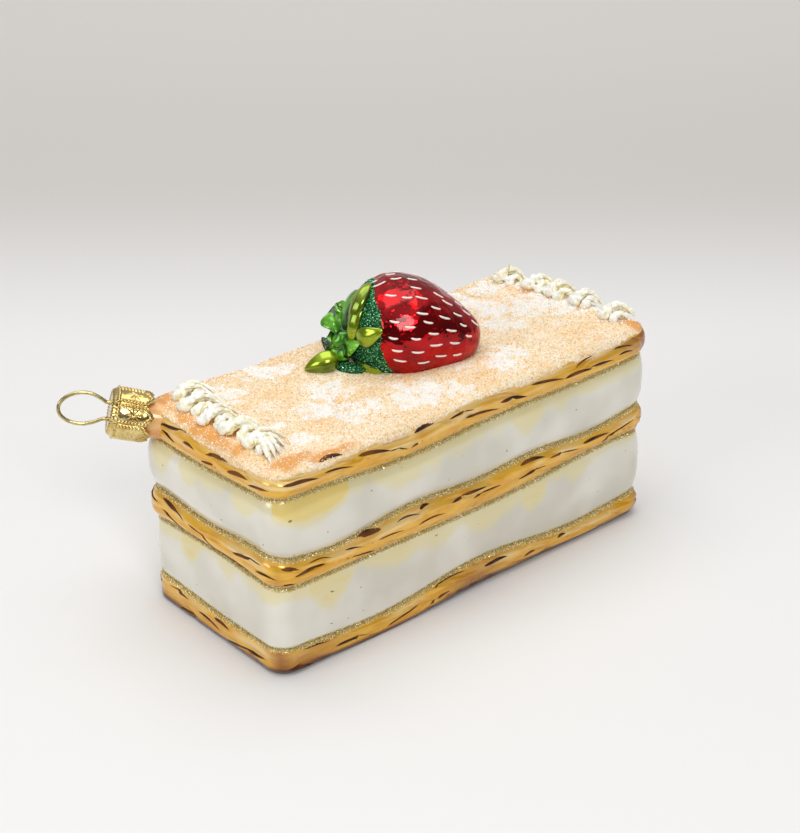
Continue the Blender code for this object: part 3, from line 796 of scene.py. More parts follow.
def flake_spreader():
    """Geometry Nodes that strew closed three-sided flakes over a surface."""
    takes = {"Surface": "Geometry", "Density": "Float", "Flake Size": "Float", "Tilt": "Float"}
    build, given = maker("flake_spreader", takes | {"Material": "Material"}, "Flakes")
    share = build.node("GeometryNodeInputNamedAttribute", {"data_type": "FLOAT"}, {"Name": "share"})
    settings = {"distribute_method": "RANDOM"}
    inputs = {"Mesh": given["Surface"], "Density": share * given["Density"], "Seed": 7}
    spread = build.node("GeometryNodeDistributePointsOnFaces", settings, inputs)
    upright = Reading(build, spread.socket.node.outputs["Rotation"])
    settings = {"data_type": "FLOAT_VECTOR"}
    inputs = {0: (-1.0, -1.0, -3.0), 1: (1.0, 1.0, 3.0), "Seed": 3}
    lean = build.node("FunctionNodeRandomValue", settings, inputs)
    lean = build.node("ShaderNodeVectorMath", {"operation": "MULTIPLY"}, (lean, given["Tilt"]))
    lean = build.node("FunctionNodeEulerToRotation", None, {"Euler": lean})
    inputs = {"Rotation": upright, "Rotate By": lean}
    turn = build.node("FunctionNodeRotateRotation", {"rotation_space": "LOCAL"}, inputs)
    size = given["Flake Size"]
    inputs = {"Vertices": 3, "Radius Top": 0.0, "Radius Bottom": size * 0.6, "Depth": size * 0.3}
    flake = build.node("GeometryNodeMeshCone", None, inputs)
    settings = {"data_type": "FLOAT"}
    growth = build.node("FunctionNodeRandomValue", settings, {2: 0.6, 3: 1.35, "Seed": 5}, output=1)
    inputs = {"Points": spread, "Instance": flake, "Rotation": turn, "Scale": growth}
    strewn = build.node("GeometryNodeInstanceOnPoints", None, inputs)
    glint = build.node("FunctionNodeRandomValue", settings, {2: 0.0, 3: 1.0, "Seed": 11}, output=1)
    settings = {"data_type": "FLOAT", "domain": "INSTANCE"}
    inputs = {"Geometry": strewn, "Name": "glint", "Value": glint}
    strewn = build.node("GeometryNodeStoreNamedAttribute", settings, inputs)
    return finished(build, strewn, given["Material"])


def grown(name, mesh, tree, values):
    """The plain mesh object that a Geometry Nodes tree makes from a mesh."""
    made = bpy.data.objects.new(name, mesh)
    bpy.context.scene.collection.objects.link(made)
    modifier = made.modifiers.new("Made", "NODES")
    modifier.node_group = tree
    for item in tree.interface.items_tree:
        if item.in_out == "INPUT" and item.name in values:
            modifier[item.identifier] = values[item.name]
    made.update_tag()
    evaluated = made.evaluated_get(bpy.context.evaluated_depsgraph_get())
    made.data = bpy.data.meshes.new_from_object(evaluated)
    made.modifiers.remove(modifier)
    return made


GOLD_DENSITY = 15e6
GOLD_SIZE = 0.00034
GOLD_TILT = 0.7
GOLD_HALF_WIDTH = 0.00085
# How fully each of five rows up a groove is covered.
GOLD_ROWS = (1.0, 1.0, 1.0, 1.0, 0.55)
flake_tree = flake_spreader()
gold = Finish("gold_glitter")
glint = gold.marked("glint")
# Each flake's random glint paints it from dull to bright gold, and about a third near white: painted glints
# and shade, not lit ones.
gold_colour = gold.mix(glint.step(0.10, 0.70), paint(198, 168, 84), paint(252, 232, 156))
gold_material = gold.set(
    Base_Color=gold.mix(glint.step(0.60, 0.68), gold_colour, paint(255, 250, 214)),
    Metallic=0.25,
    Roughness=0.28,
    Coat_Weight=0.5,
)
strips = Form()
for line in range(1, 5):
    base = len(strips.points)
    for walked, lines in WALL_COLUMNS:
        patchy = 0.95 + 0.5 * noise.noise(Vector((walked * 90, line * 7.0, 0)))
        for row, covered in enumerate(GOLD_ROWS):
            height = lines[line] + GOLD_HALF_WIDTH * (row / 2 - 1)
            strips.add(wall_at(walked, height, lines)[0], share=patchy * covered)
    for column in range(COLUMNS):
        here = base + 5 * column
        there = base + 5 * ((column + 1) % COLUMNS)
        strips.faces.extend((here + row, there + row, there + row + 1, here + row + 1) for row in range(4))
values = {"Density": GOLD_DENSITY, "Flake Size": GOLD_SIZE, "Tilt": GOLD_TILT, "Material": gold_material}
gold_flakes = grown("gold_flakes", strips.mesh("groove_strips"), flake_tree, values)
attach(gold_flakes, "root")
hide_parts("glass_body")

# ---------------------------------------------------------------- sugared top
# Clear crushed glass over the whole top, and white crushed glass laid in
# drifts like icing sugar, both stuck to the peach lacquer.
# Each drift: its middle and its radius, in millimetres.
SUGAR_DRIFTS = (
    (-29, 18, 4), (-24, 15, 3), (-42, 13, 4), (-47, 19, 3), (-23, -1, 4), (-31, -5, 3.5), (-30, -8, 3),
    (-26, -12, 4), (-42, -6, 1.5), (-42, -14, 3), (-19, -12, 2), (-12, -15, 4), (-9, -12, 3), (-5, -15, 3.5),
    (-9, -18, 3), (-1, -18.5, 3), (16, -16, 3.5), (20, -13, 3.5), (31, 17, 3.5), (32, 13, 3.5), (41, 17, 4),
    (51, 17, 4), (33, 6, 5), (39, 3, 5), (29, 0, 3.5), (31, -3, 2.5), (44, 1, 5), (47, -3, 4), (53, 6, 4),
    (49, 12, 3), (54, -8, 5), (54, -15, 4),
)
CLEAR_DENSITY = 7.0e6
WHITE_DENSITY = 15e6
SUGAR_SIZE = 0.00042
WHITE_SIZE = SUGAR_SIZE * 1.2
SUGAR_TILT = 0.8


def drift_at(point):
    """How thickly the white sugar lies at a place on the top."""
    thickest = 0.0
    for x, y, radius in SUGAR_DRIFTS:
        reach = radius * 0.00125
        far = math.hypot((point.x - x * 0.001) * 0.9, point.y - y * 0.001) / reach
        thickest = max(thickest, 1.15 - far)
    ragged = 1.6 * noise.noise(Vector((point.x * 330, point.y * 420, 1.0)))
    ragged += 1.0 * noise.noise(Vector((point.x * 900, point.y * 1100, 4.0)))
    laid = min(1.0, max(0.0, (thickest + ragged * 0.60 - 0.32) * 4.0)) if thickest > 0.02 else 0.0
    stray = max(0.0, noise.noise(Vector((point.x * 170, point.y * 230, 9.0))) - 0.15)
    return (laid + 0.45 * stray) * max(0.0, 1 - 0.6 * baked_and_shaded(point))


def sugar_surface(name, share_at):
    """A copy of the top sheet with the share of flakes at each of its points."""
    surface = pastry_top.data.copy()
    surface.name = name
    covered = [0.0] * len(surface.vertices)
    surface.attributes["top"].data.foreach_get("value", covered)
    shares = [share_at(vert.co) if cover > 0.5 else 0.0 for vert, cover in zip(surface.vertices, covered)]
    surface.attributes.new("share", "FLOAT", "POINT").data.foreach_set("value", shares)
    return surface


clear = Finish("sugar_glitter")
glint = clear.marked("glint")
# Each flake's random glint paints it from darker orange to pale peach, and many near white: painted glints
# and shade.
clear_colour = clear.mix(glint.step(0.1, 0.4), paint(228, 180, 118), paint(252, 220, 172))
clear_material = clear.set(
    Base_Color=clear.mix(glint.step(0.50, 0.62), clear_colour, paint(255, 252, 244)),
    Roughness=0.28,
    Coat_Weight=0.5,
)
surface = sugar_surface("clear_surface", lambda point: max(0.2, 1 - 0.7 * baked_and_shaded(point)))
values = {"Density": CLEAR_DENSITY, "Flake Size": SUGAR_SIZE, "Tilt": SUGAR_TILT, "Material": clear_material}
clear_sugar = grown("clear_sugar", surface, flake_tree, values)
white = Finish("white_sugar")
white_material = white.set(Base_Color=paint(255, 253, 249), Roughness=0.45)
surface = sugar_surface("white_surface", drift_at)
values = {"Density": WHITE_DENSITY, "Flake Size": WHITE_SIZE, "Tilt": SUGAR_TILT, "Material": white_material}
white_sugar = grown("white_sugar", surface, flake_tree, values)
for piece in (clear_sugar, white_sugar):
    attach(piece, "root")
    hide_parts("glass_body")

# ---------------------------------------------------------------- piped rows
# Raised glass moulded as piped cream stars, overlapping in a row across each end, and painted ivory with pale
# yellow in the creases.  Painted shade, pale yellow deepening to olive-grey, darkens the underside of each
# ridge, its foot by the top and its grooves.
NEAR_ROW = ((-0.0483, 0.0172), (-0.0498, 0.0116), (-0.0507, 0.0041), (-0.0498, -0.0032), (-0.0497, -0.0109))
FAR_ROW = ((0.0478, 0.0165), (0.0497, 0.0081), (0.0508, 0.0018), (0.0519, -0.0058), (0.0524, -0.0156))
STAR_ROOT_DEPTH = 0.0005
RIDGE_AROUND = 30
RIDGE_ROWS = 40
# The ridges of one star, from their fat ends over the middle to their thin
# ends: three places as turn in degrees, reach and height, then two widths.
STAR_RIDGES = (
    ((112, 0.0032, 0.0006), (66, 0.0052, 0.0034), (-6, 0.0066, 0.0001), 0.0022, 0.0007),
    ((162, 0.0042, 0.0005), (54, 0.0026, 0.0044), (-34, 0.0062, 0.0001), 0.0046, 0.0009),
    ((226, 0.0040, 0.0002), (-20, 0.0014, 0.0040), (-58, 0.0054, 0.0001), 0.0032, 0.0008),
    ((96, 0.0018, 0.0026), (34, 0.0044, 0.0042), (-20, 0.0064, 0.0001), 0.0015, 0.0006),
    ((190, 0.0014, 0.0032), (-4, 0.0034, 0.0042), (-46, 0.0060, 0.0001), 0.0015, 0.0006),
)
TAIL_PLEATS = (
    ((0.0, 0.0004, 0.0016), (-0.0016, -0.0028, 0.0040), (-0.0028, -0.0072, 0.0001), 0.0026, 0.0009),
    ((0.0006, 0.0, 0.0018), (-0.0002, -0.0030, 0.0042), (-0.0010, -0.0068, 0.0001), 0.0024, 0.0007),
    ((0.0012, 0.0002, 0.0016), (0.0016, -0.0026, 0.0038), (0.0010, -0.0056, 0.0001), 0.0022, 0.0007),
    ((0.0016, 0.0008, 0.0012), (0.0034, -0.0012, 0.0034), (0.0036, -0.0036, 0.0001), 0.0020, 0.0006),
)
SPIKE = ((-0.0008, 0.0, 0.0010), (-0.0002, 0.0, 0.0034), (-0.0004, -0.0008, 0.0056), 0.0026, 0.0005)

piped = Finish("piped_enamel")
crease = piped.marked("crease")
ivory = piped.mix(piped.grain(260, 2.0).step(0.4, 0.65), paint(255, 255, 248), paint(255, 251, 228))
# The crease mark is partly the piping's yellow paint and partly painted shade; the olive-grey is painted
# shade.
ivory = piped.mix(crease.step(0.30, 0.70) * 0.85, ivory, paint(252, 232, 158))
ivory = piped.mix(crease.step(0.86, 1.15) * 0.6, ivory, paint(190, 160, 84))
piped_material = piped.set(Base_Color=ivory, Roughness=0.3, Coat_Weight=0.5, Coat_Roughness=0.08)


def top_sag(x, y):
    """How far the top lies below its flat part at one place."""
    return TOP_HEIGHT - settled(Vector((x, y, TOP_HEIGHT))).z


def on_bend(root, middle, tip, part):
    """A place along a bend drawn towards its middle, and the heading there."""
    place = root * (1 - part) ** 2 + middle * 2 * part * (1 - part) + tip * part ** 2
    return place, (middle - root) * (1 - part) + (tip - middle) * part


def piped_ridge(form, bend, fat, thin):
    """One closed ridge of piped cream along a bend, fat at its root."""
    first = len(form.points)
    up = Vector((0, 0, 1))
    for row in range(1, RIDGE_ROWS):
        part = row / RIDGE_ROWS
        spine, ahead = on_bend(*bend, part)
        ahead.normalize()
        across = up.cross(ahead).normalized()
        out = ahead.cross(across)
        rounded = math.sqrt(1 - (1 - min(1.0, part / 0.16)) ** 2)
        width = (fat + (thin - fat) * part ** 0.8) * rounded * min(1.0, (1 - part) * 5) ** 0.6
        for i in range(RIDGE_AROUND):
            turn = 2 * math.pi * i / RIDGE_AROUND
            off = min(turn, 2 * math.pi - turn)
            crest = 0.84 - 0.28 * part + (0.16 + 0.44 * part) * math.exp(-(off * (1.5 + part)) ** 2)
            point = spine + (across * math.sin(turn) + out * math.cos(turn) * crest) * (width / 2)
            lump = noise.noise(point * 420) + 0.6 * noise.noise(point * 1100)
            groove = max(0.0, 1 - 5 * abs(noise.noise(point * 620 + Vector((3.0, 7.0, 1.0)))))
            low = min(1.1, max(0.0, 1.4 - (point.z - TOP_HEIGHT) / 0.0035))
            # Painted shade: crease is 0 on the crest, 1 underneath, more near the top and in the grooves.
            crease = (0.5 - 0.5 * math.cos(turn) + 0.25 * lump - 0.05) * low + 0.55 * groove
            form.add(point + (point - spine) * (0.34 * lump - 0.40 * groove), crease=crease)
    form.tube(first, bend[0], bend[2], crease=0.3)


def star_centre(x, y):
    """The middle of one piped star, a little into the top."""
    return Vector((x, y, TOP_HEIGHT - STAR_ROOT_DEPTH - top_sag(x, y)))


form = Form(RIDGE_AROUND)
dice = random.Random(8)
for row, spread in ((NEAR_ROW, 1.0), (FAR_ROW, 0.84)):
    for x, y in row:
        for *bends, fat, thin in STAR_RIDGES:
            spin = dice.uniform(-14, 14)
            grown_by = spread * dice.uniform(0.88, 1.06)
            bend = []
            for turn, reach, height in bends:
                angle = math.radians(turn + spin)
                side = Vector((math.cos(angle), math.sin(angle), 0)) * reach * grown_by
                bend.append(star_centre(x, y) + side + Vector((0, 0, height)))
            piped_ridge(form, bend, fat * dice.uniform(0.85, 1.1), thin)
for star, ridges in ((NEAR_ROW[-1], TAIL_PLEATS), (FAR_ROW[0], (SPIKE,))):
    for *bends, fat, thin in ridges:
        piped_ridge(form, [star_centre(*star) + Vector(place) for place in bends], fat, thin)
piped_stars = add_piece("piped_stars", form.mesh("piped_stars"), piped_material)
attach(piped_stars, "root")
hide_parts("glass_body")

# ---------------------------------------------------------------- strawberry
# The same glass drawn up into a strawberry lying on its side, silvered inside
# and lacquered clear red, with its seeds dashed on in white enamel.
BERRY_HEADING = Vector((0.82, -0.57, -0.22)).normalized()
BERRY_WIDEST = Vector((0.0008, 0.0046, TOP_HEIGHT + 0.0062))
# Place along the berry and radius there, from the stem to the tip.
BERRY_OUTLINE = (
    (-0.0108, 0.0), (-0.0106, 0.0030), (-0.0101, 0.0056), (-0.0080, 0.0092), (-0.0058, 0.0110),
    (-0.0044, 0.0119), (-0.0022, 0.0125), (0.0, 0.0128), (0.0032, 0.0127), (0.0072, 0.0115),
    (0.0110, 0.0097), (0.0145, 0.0078), (0.0172, 0.0060), (0.0192, 0.0040), (0.0201, 0.0016), (0.0202, 0.0),
)
BERRY_WANDER = 0.00022
BERRY_WRINKLE = 0.00020
BERRY_AROUND = 160
BERRY_ROWS = 96


def frame_along(axis, across, origin):
    """Matrix whose Z is the axis and whose X leans towards another direction."""
    z = axis.normalized()
    x = (across - z * across.dot(z)).normalized()
    turn = Matrix((x, z.cross(x), z)).transposed().to_4x4()
    return Matrix.Translation(origin) @ turn


berry = frame_along(BERRY_HEADING, Vector((0, 0, 1)), BERRY_WIDEST)


def berry_radius(along):
    """Radius of the berry at a place along it, on a smooth curve."""
    rows = BERRY_OUTLINE
    index = 1
    while index < len(rows) - 1 and rows[index][0] < along:
        index += 1
    (x0, r0), (x1, r1) = rows[index - 1], rows[index]
    part = min(1.0, max(0.0, (along - x0) / (x1 - x0)))
    before = rows[max(index - 2, 0)]
    after = rows[min(index + 1, len(rows) - 1)]
    slope0 = (r1 - before[1]) / (x1 - before[0]) * (x1 - x0)
    slope1 = (after[1] - r0) / (after[0] - x0) * (x1 - x0)
    if index in (1, len(rows) - 1):
        rest = part if index == 1 else 1 - part
        return max(r0, r1) * math.sqrt(max(0.0, 1 - (1 - rest) ** 2))
    a = 2 * part ** 3 - 3 * part ** 2 + 1
    b = part ** 3 - 2 * part ** 2 + part
    c = part ** 3 - part ** 2
    return a * r0 + b * slope0 + (1 - a) * r1 + c * slope1


def berry_at(along, turn, proud=0.0):
    """A point of the berry's skin; the blown wall wanders a little."""
    direction = Vector((math.cos(turn), math.sin(turn), 0))
    radius = berry_radius(along)
    soft = noise.noise(direction * 1.6 + Vector((0, 0, along * 130)))
    wrinkle = noise.noise(direction * 5.5 + Vector((0, 0, along * 420)))
    near_leaves = min(1.0, max(0.25, (0.006 - along) / 0.008))
    wander = (BERRY_WANDER * soft + BERRY_WRINKLE * wrinkle * near_leaves) * min(1.0, radius / 0.004)
    return berry @ (direction * (radius + wander + proud) + Vector((0, 0, along)))


red = Finish("berry_lacquer")
blotch = red.grain(120, 2.0)
red_material = red.set(
    Base_Color=red.mix(blotch.step(0.4, 0.7), paint(196, 2, 10), paint(146, 0, 6)),
    Metallic=0.95,
    Roughness=0.08,
    Coat_Weight=0.45,
    Coat_Roughness=0.02,
    Normal=red.bump(red.grain(280, 2.0), 0.0010, 0.8),
)
form = Form(BERRY_AROUND)
low, high = BERRY_OUTLINE[0][0], BERRY_OUTLINE[-1][0]
for row in range(1, BERRY_ROWS):
    along = (low + high) / 2 - (high - low) / 2 * math.cos(math.pi * row / BERRY_ROWS)
    for i in range(BERRY_AROUND):
        form.add(berry_at(along, 2 * math.pi * i / BERRY_AROUND))
form.tube(0, berry @ Vector((0, 0, low)), berry @ Vector((0, 0, high)))
strawberry = add_piece("strawberry", form.mesh("strawberry"), red_material)
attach(strawberry, "root")
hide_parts("glass_body")

# ---------------------------------------------------------------- berry seeds
# Short dashes of white enamel, laid along the berry in staggered rows; each
# dips in the middle where the brush pressed.  Places are millimetres along
# the berry and degrees round it from the top.
SEED_ROWS = (
    ((-3.4, -10), (1.3, 2), (-6.2, 7), (-7.7, -6), (-2.4, 2), (2.0, 16)),
    ((-3.7, 29), (-0.1, 31), (3.3, 28), (7.6, 14)),
    ((-2.4, 59), (3.7, 46), (6.9, 35), (9.9, 19), (13.1, 3)),
    ((1.2, 62), (5.3, 54), (9.3, 43), (12.7, 30), (15.2, 14)),
    ((-2.1, 76), (3.0, 73), (7.0, 65), (11.4, 57), (14.4, 43), (17.6, 23)),
    ((-0.7, 88), (4.1, 87), (8.2, 78), (12.8, 74), (16.2, 59)),
    ((0.5, 99), (6.1, 100), (10.0, 93), (14.1, 94)),
)
SEED_LENGTH = 0.0029
SEED_WIDTH = 0.00054
SEED_RAISE = 0.00016
SEED_DIP = 0.00022
SEED_STEPS = 8
seeds = Finish("white_enamel")
white_material = seeds.set(Base_Color=paint(255, 247, 240), Roughness=0.3, Coat_Weight=0.3)
dice = random.Random(5)
places = [place for row in SEED_ROWS for place in row]
for turn in range(-30, -176, -16):
    for step in range(6):
        along = -5.5 + 4.2 * step + (2.1 if turn // 16 % 2 else 0.0) + dice.uniform(-0.5, 0.5)
        places.append((along, turn + dice.uniform(-3, 3) + 1.6 * along))
form = Form()
for along, turn in places:
    if not -8.5 < along < 18.6:
        continue
    length = SEED_LENGTH * dice.uniform(0.8, 1.15) * (0.75 if along > 13 else 1.0)
    slant = dice.uniform(-0.10, 0.14)
    path = []
    widths = []
    for step in range(SEED_STEPS + 1):
        part = step / SEED_STEPS - 0.5
        radius = max(0.003, berry_radius(along * 0.001))
        here = along * 0.001 + part * length
        dip = SEED_DIP * (1 - 4 * part * part) - slant * part * length
        angle = math.radians(turn) + dip / radius
        point = berry_at(here, angle)
        aside = berry_at(here, angle + 0.02) - point
        ahead = berry_at(here + 0.0002, angle) - point
        path.append((point, aside.cross(ahead).normalized()))
        widths.append(SEED_WIDTH * (1 - (2 * abs(part)) ** 4 * 0.6))
    if path[SEED_STEPS // 2][0].z > TOP_HEIGHT:
        raised_stroke(form, path, widths, SEED_RAISE)
berry_seeds = add_piece("berry_seeds", form.mesh("berry_seeds"), white_material)
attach(berry_seeds, "root")
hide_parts("glass_body")

# ---------------------------------------------------------------- leaves
# Glass leaves moulded on the berry's shoulder: smooth lime-lacquered leaves
# lying back along it, thin crumpled sepals standing off, and one stem leaf.
# Each lying leaf: root, middle and tip as place along the berry, degrees round it and reach from its axis;
# then width, thickness, crumple, shade and taper.  A shade above 0 makes the leaf olive-lime; below 0 it
# darkens the leaf with painted shade.
LYING_LEAVES = (
    ((-0.0100, 112, 0.0066), (-0.0112, 60, 0.0076), (-0.0076, 6, 0.0100), 0.0044, 0.0030, 0.10, 0.75, 0.5),
    ((-0.0102, 0, 0.0076), (-0.0122, 0, 0.0012), (-0.0112, 180, 0.0036), 0.0080, 0.0028, 0.15, -0.14, 0.2),
    ((-0.0092, 96, 0.0080), (-0.0082, 83, 0.0112), (-0.0048, 70, 0.0123), 0.0056, 0.0018, 0.10, 0.95, 0.55),
    ((-0.0072, 138, 0.0100), (-0.0056, 127, 0.0124), (-0.0028, 118, 0.0130), 0.0048, 0.0018, 0.10, 0.9, 0.55),
    ((-0.0108, -90, 0.0030), (-0.0100, -90, 0.0070), (-0.0062, -86, 0.0108), 0.0060, 0.0028, 0.10, 0.5, 0.5),
    ((-0.0080, 3, 0.0102), (-0.0114, 42, 0.0088), (-0.0106, 104, 0.0050), 0.0046, 0.0028, 0.10, 0.85, 0.35),
)
# Each sepal: where it starts and ends from the stem, width, thickness, shade; a shade below 0 darkens it with
# painted shade.
SEPALS = (
    ((0.0002, -0.0000, 0.0006), (-0.0064, 0.0045, -0.0004), 0.0076, 0.0009, 0.05),
    ((-0.0010, -0.0006, -0.0012), (-0.0072, 0.0018, -0.0046), 0.0064, 0.0010, -0.10),
    ((-0.0023, -0.0002, -0.0009), (-0.0068, -0.0012, -0.0067), 0.0056, 0.0010, -0.06),
    ((-0.0053, -0.0022, -0.0052), (-0.0047, -0.0076, -0.0015), 0.0054, 0.0010, -0.06),
    ((-0.0038, -0.0020, -0.0047), (-0.0075, -0.0011, -0.0080), 0.0062, 0.0022, -0.25),
    ((-0.0063, -0.0003, -0.0065), (-0.0072, 0.0030, -0.0030), 0.0026, 0.0007, -0.05),
    ((0.0002, 0.0008, 0.0007), (-0.0020, 0.0045, 0.0033), 0.0046, 0.0009, 0.10),
    ((-0.0016, -0.0025, -0.0041), (-0.0053, 0.0003, -0.0046), 0.0060, 0.0024, -0.20),
)
SEPAL_FACING = Vector((-0.60, -0.45, 0.66))
SEPAL_FOLD = 0.0018
SEPAL_TAPER = 0.45
SEPAL_BOW = 0.0006
STEM_ALONG = -0.0094
STEM_LEAF_ROOT = Vector((-0.0142, 0.0066, TOP_HEIGHT + 0.0022))
STEM_LEAF_TIP = Vector((-0.0212, 0.0102, TOP_HEIGHT + 0.0003))
STEM_LEAF_WIDTH = 0.0062
STEM_LEAF_THICKNESS = 0.0060
STEM_LEAF_TAPER = 0.55
STEM_LEAF_BOW = 0.0004
LEAF_AROUND = 40
LEAF_ROWS = 30

leaf = Finish("leaf_lacquer")
lime = leaf.marked("lime")
panel = leaf.marked("panel")
green = leaf.mix(leaf.grain(160, 2.0).step(0.38, 0.65), paint(66, 142, 18), paint(116, 190, 40))
olive = leaf.mix(leaf.grain(120, 1.0).step(0.4, 0.62), paint(112, 136, 8), paint(158, 180, 20))
green = leaf.mix(lime.step(0.25, 0.75), green, olive)
# Painted shade: where the panel mark is low, the green darkens to black-green, on leaf edges, in the sepals'
# creases and on leaves given a shade below 0.
leaf_material = leaf.set(
    Base_Color=leaf.mix(panel.step(0.0, 0.7), paint(12, 52, 8), green),
    Metallic=0.35 + lime.step(0.25, 0.75) * 0.35,
    Roughness=0.20,
    Coat_Weight=0.7,
    Coat_Roughness=0.05,
)


def leaf_form(form, bend, outward, width, thickness, crumple, lime, taper):
    """One closed leaf along a bend, drawn to a point, ridged or crumpled."""
    first = len(form.points)
    length = (bend[2] - bend[0]).length
    for row in range(1, LEAF_ROWS):
        level = -math.cos(math.pi * row / LEAF_ROWS)
        part = (level + 1) / 2
        spine, ahead = on_bend(*bend, part)
        placed = frame_along(ahead, outward, spine)
        size = math.sqrt(1 - level * level) * (1 - taper * part ** 1.6)
        size *= 1 + 0.25 * crumple * noise.noise(Vector((part * 4.5, width * 9000, 1.0)))
        for i in range(LEAF_AROUND):
            around = 2 * math.pi * i / LEAF_AROUND
            side = math.sin(around)
            rise = math.cos(around) * (1 + 0.14 * math.exp(-(side * 4) ** 2))
            spot = Vector((width / 2 * size * side, part * length, width * 9)) * 215
            fold = abs(noise.noise(spot)) + 0.5 * noise.noise(spot * 0.5) + 0.3 * abs(noise.noise(spot * 2.3))
            lift = thickness / 2 * size * rise + crumple * SEPAL_FOLD * fold * (0.3 + size)
            # Painted shade on the leaf's edges and in its creases, and on leaves given a shade below 0.
            shaded_edge = (0.7 + 0.5 * crumple) * abs(side) ** 4
            crease_shade = crumple * (7.0 * abs(noise.noise(spot)) - 1.1)
            panel = 1 - shaded_edge + crease_shade + 3 * min(0.0, lime)
            form.add(placed @ Vector((lift, width / 2 * size * side, 0)), lime=lime, panel=panel)
    form.tube(first, bend[0], bend[2], panel=0.5)


form = Form(LEAF_AROUND)
for *places, width, thickness, crumple, shade, taper in LYING_LEAVES:
    bend = []
    for along, turn, reach in places:
        angle = math.radians(turn)
        bend.append(berry @ Vector((reach * math.cos(angle), reach * math.sin(angle), along)))
    leaf_form(form, bend, bend[1] - BERRY_WIDEST, width, thickness, crumple, shade, taper)
stem = berry @ Vector((0, 0, STEM_ALONG))
for start, end, width, thickness, shade in SEPALS:
    root = stem + Vector(start)
    tip = stem + Vector(end)
    bend = (root, (root + tip) / 2 + SEPAL_FACING * SEPAL_BOW, tip)
    leaf_form(form, bend, SEPAL_FACING, width, thickness, 1.0, shade, SEPAL_TAPER)
up = Vector((0, 0, 1))
bend = (STEM_LEAF_ROOT, (STEM_LEAF_ROOT + STEM_LEAF_TIP) / 2 + up * STEM_LEAF_BOW, STEM_LEAF_TIP)
leaf_form(form, bend, up, STEM_LEAF_WIDTH, STEM_LEAF_THICKNESS, 0.06, 0.95, STEM_LEAF_TAPER)
green_leaves = add_piece("green_leaves", form.mesh("green_leaves"), leaf_material)
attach(green_leaves, "root")
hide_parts("glass_body")

# ---------------------------------------------------------------- green glitter
# A collar of green flakes glued round the berry's shoulder between the
# leaves, over a dark green ground that follows the edge of the red.
# Degrees round the berry, and how far along it the collar reaches, in millimetres.
COLLAR_EDGE = (
    (-180, -7.0), (-60, -6.6), (0, -6.9), (34, -7.0), (61, -5.0), (90, -4.5), (111, -1.6), (116, 0.2),
    (180, -4.0),
)
COLLAR_START = 0.0002
COLLAR_RAISE = 0.00012
COLLAR_DEPTH = 0.0004
COLLAR_AROUND = 120
COLLAR_RINGS = 24
GREEN_DENSITY = 28e6
GREEN_SIZE = 0.00036
GREEN_TILT = 0.8
COLLAR_FOOT = Vector((-0.0128, 0.0040, TOP_HEIGHT))
COLLAR_FOOT_SIZES = (0.0018, 0.0034, 0.0016)
COLLAR_FOOT_TURN = math.radians(33)
FOOT_AROUND = 32
FOOT_ROWS = 16


def collar_edge(turn):
    """How far along the berry the collar reaches at a turn, in metres."""
    for (t0, e0), (t1, e1) in zip(COLLAR_EDGE, COLLAR_EDGE[1:]):
        if turn <= t1:
            edge = e0 + (e1 - e0) * (turn - t0) / (t1 - t0)
            break
    return (edge + 0.5 * noise.noise(Vector((turn * 0.09, 3.0, 0)))) * 0.001


def collar_ring(form, part, proud):
    """One ring round the shoulder, part of the way from the stem to the edge."""
    start = BERRY_OUTLINE[0][0] + COLLAR_START
    for i in range(COLLAR_AROUND):
        turn = -180 + 360 * i / COLLAR_AROUND
        along = start + (collar_edge(turn) - start) * part
        form.add(berry_at(along, math.radians(turn), proud), share=1.0)


collar = Form(COLLAR_AROUND)
for step in range(COLLAR_RINGS + 1):
    part = step / COLLAR_RINGS
    collar_ring(collar, part, COLLAR_RAISE * min(1.0, 6 * (1 - part)) - 0.00001)
last = COLLAR_RINGS * COLLAR_AROUND
for ring in range(0, last, COLLAR_AROUND):
    collar.knit(ring, ring + COLLAR_AROUND)
shaped = Matrix.LocRotScale(COLLAR_FOOT, Matrix.Rotation(COLLAR_FOOT_TURN, 3, "Z"), COLLAR_FOOT_SIZES)
foot = Form(FOOT_AROUND)
for row in range(1, FOOT_ROWS):
    level = math.pi * (row / FOOT_ROWS - 0.5)
    for i in range(FOOT_AROUND):
        turn = 2 * math.pi * i / FOOT_AROUND
        side = math.cos(level)
        foot.add(shaped @ Vector((side * math.cos(turn), side * math.sin(turn), math.sin(level))))
foot.tube(0, shaped @ Vector((0, 0, -1)), shaped @ Vector((0, 0, 1)))
base = len(collar.points)
for point in foot.points:
    collar.add(point, share=1.0)
collar.faces.extend(tuple(base + corner for corner in face) for face in foot.faces)
skin = collar.mesh("collar_surface")

# The ground itself closes on two smaller rings inside the berry.
inner = len(collar.points)
collar_ring(collar, 1.0, -COLLAR_DEPTH)
collar_ring(collar, 0.0, -COLLAR_DEPTH)
collar.knit(last, inner)
collar.knit(inner, inner + COLLAR_AROUND)
collar.knit(inner + COLLAR_AROUND, 0)
under = Finish("collar_paint")
under_material = under.set(Base_Color=paint(4, 60, 28), Roughness=0.4)
collar_ground = add_piece("collar_ground", collar.mesh("collar_ground"), under_material)
glitter = Finish("green_glitter")
glint = glitter.marked("glint")
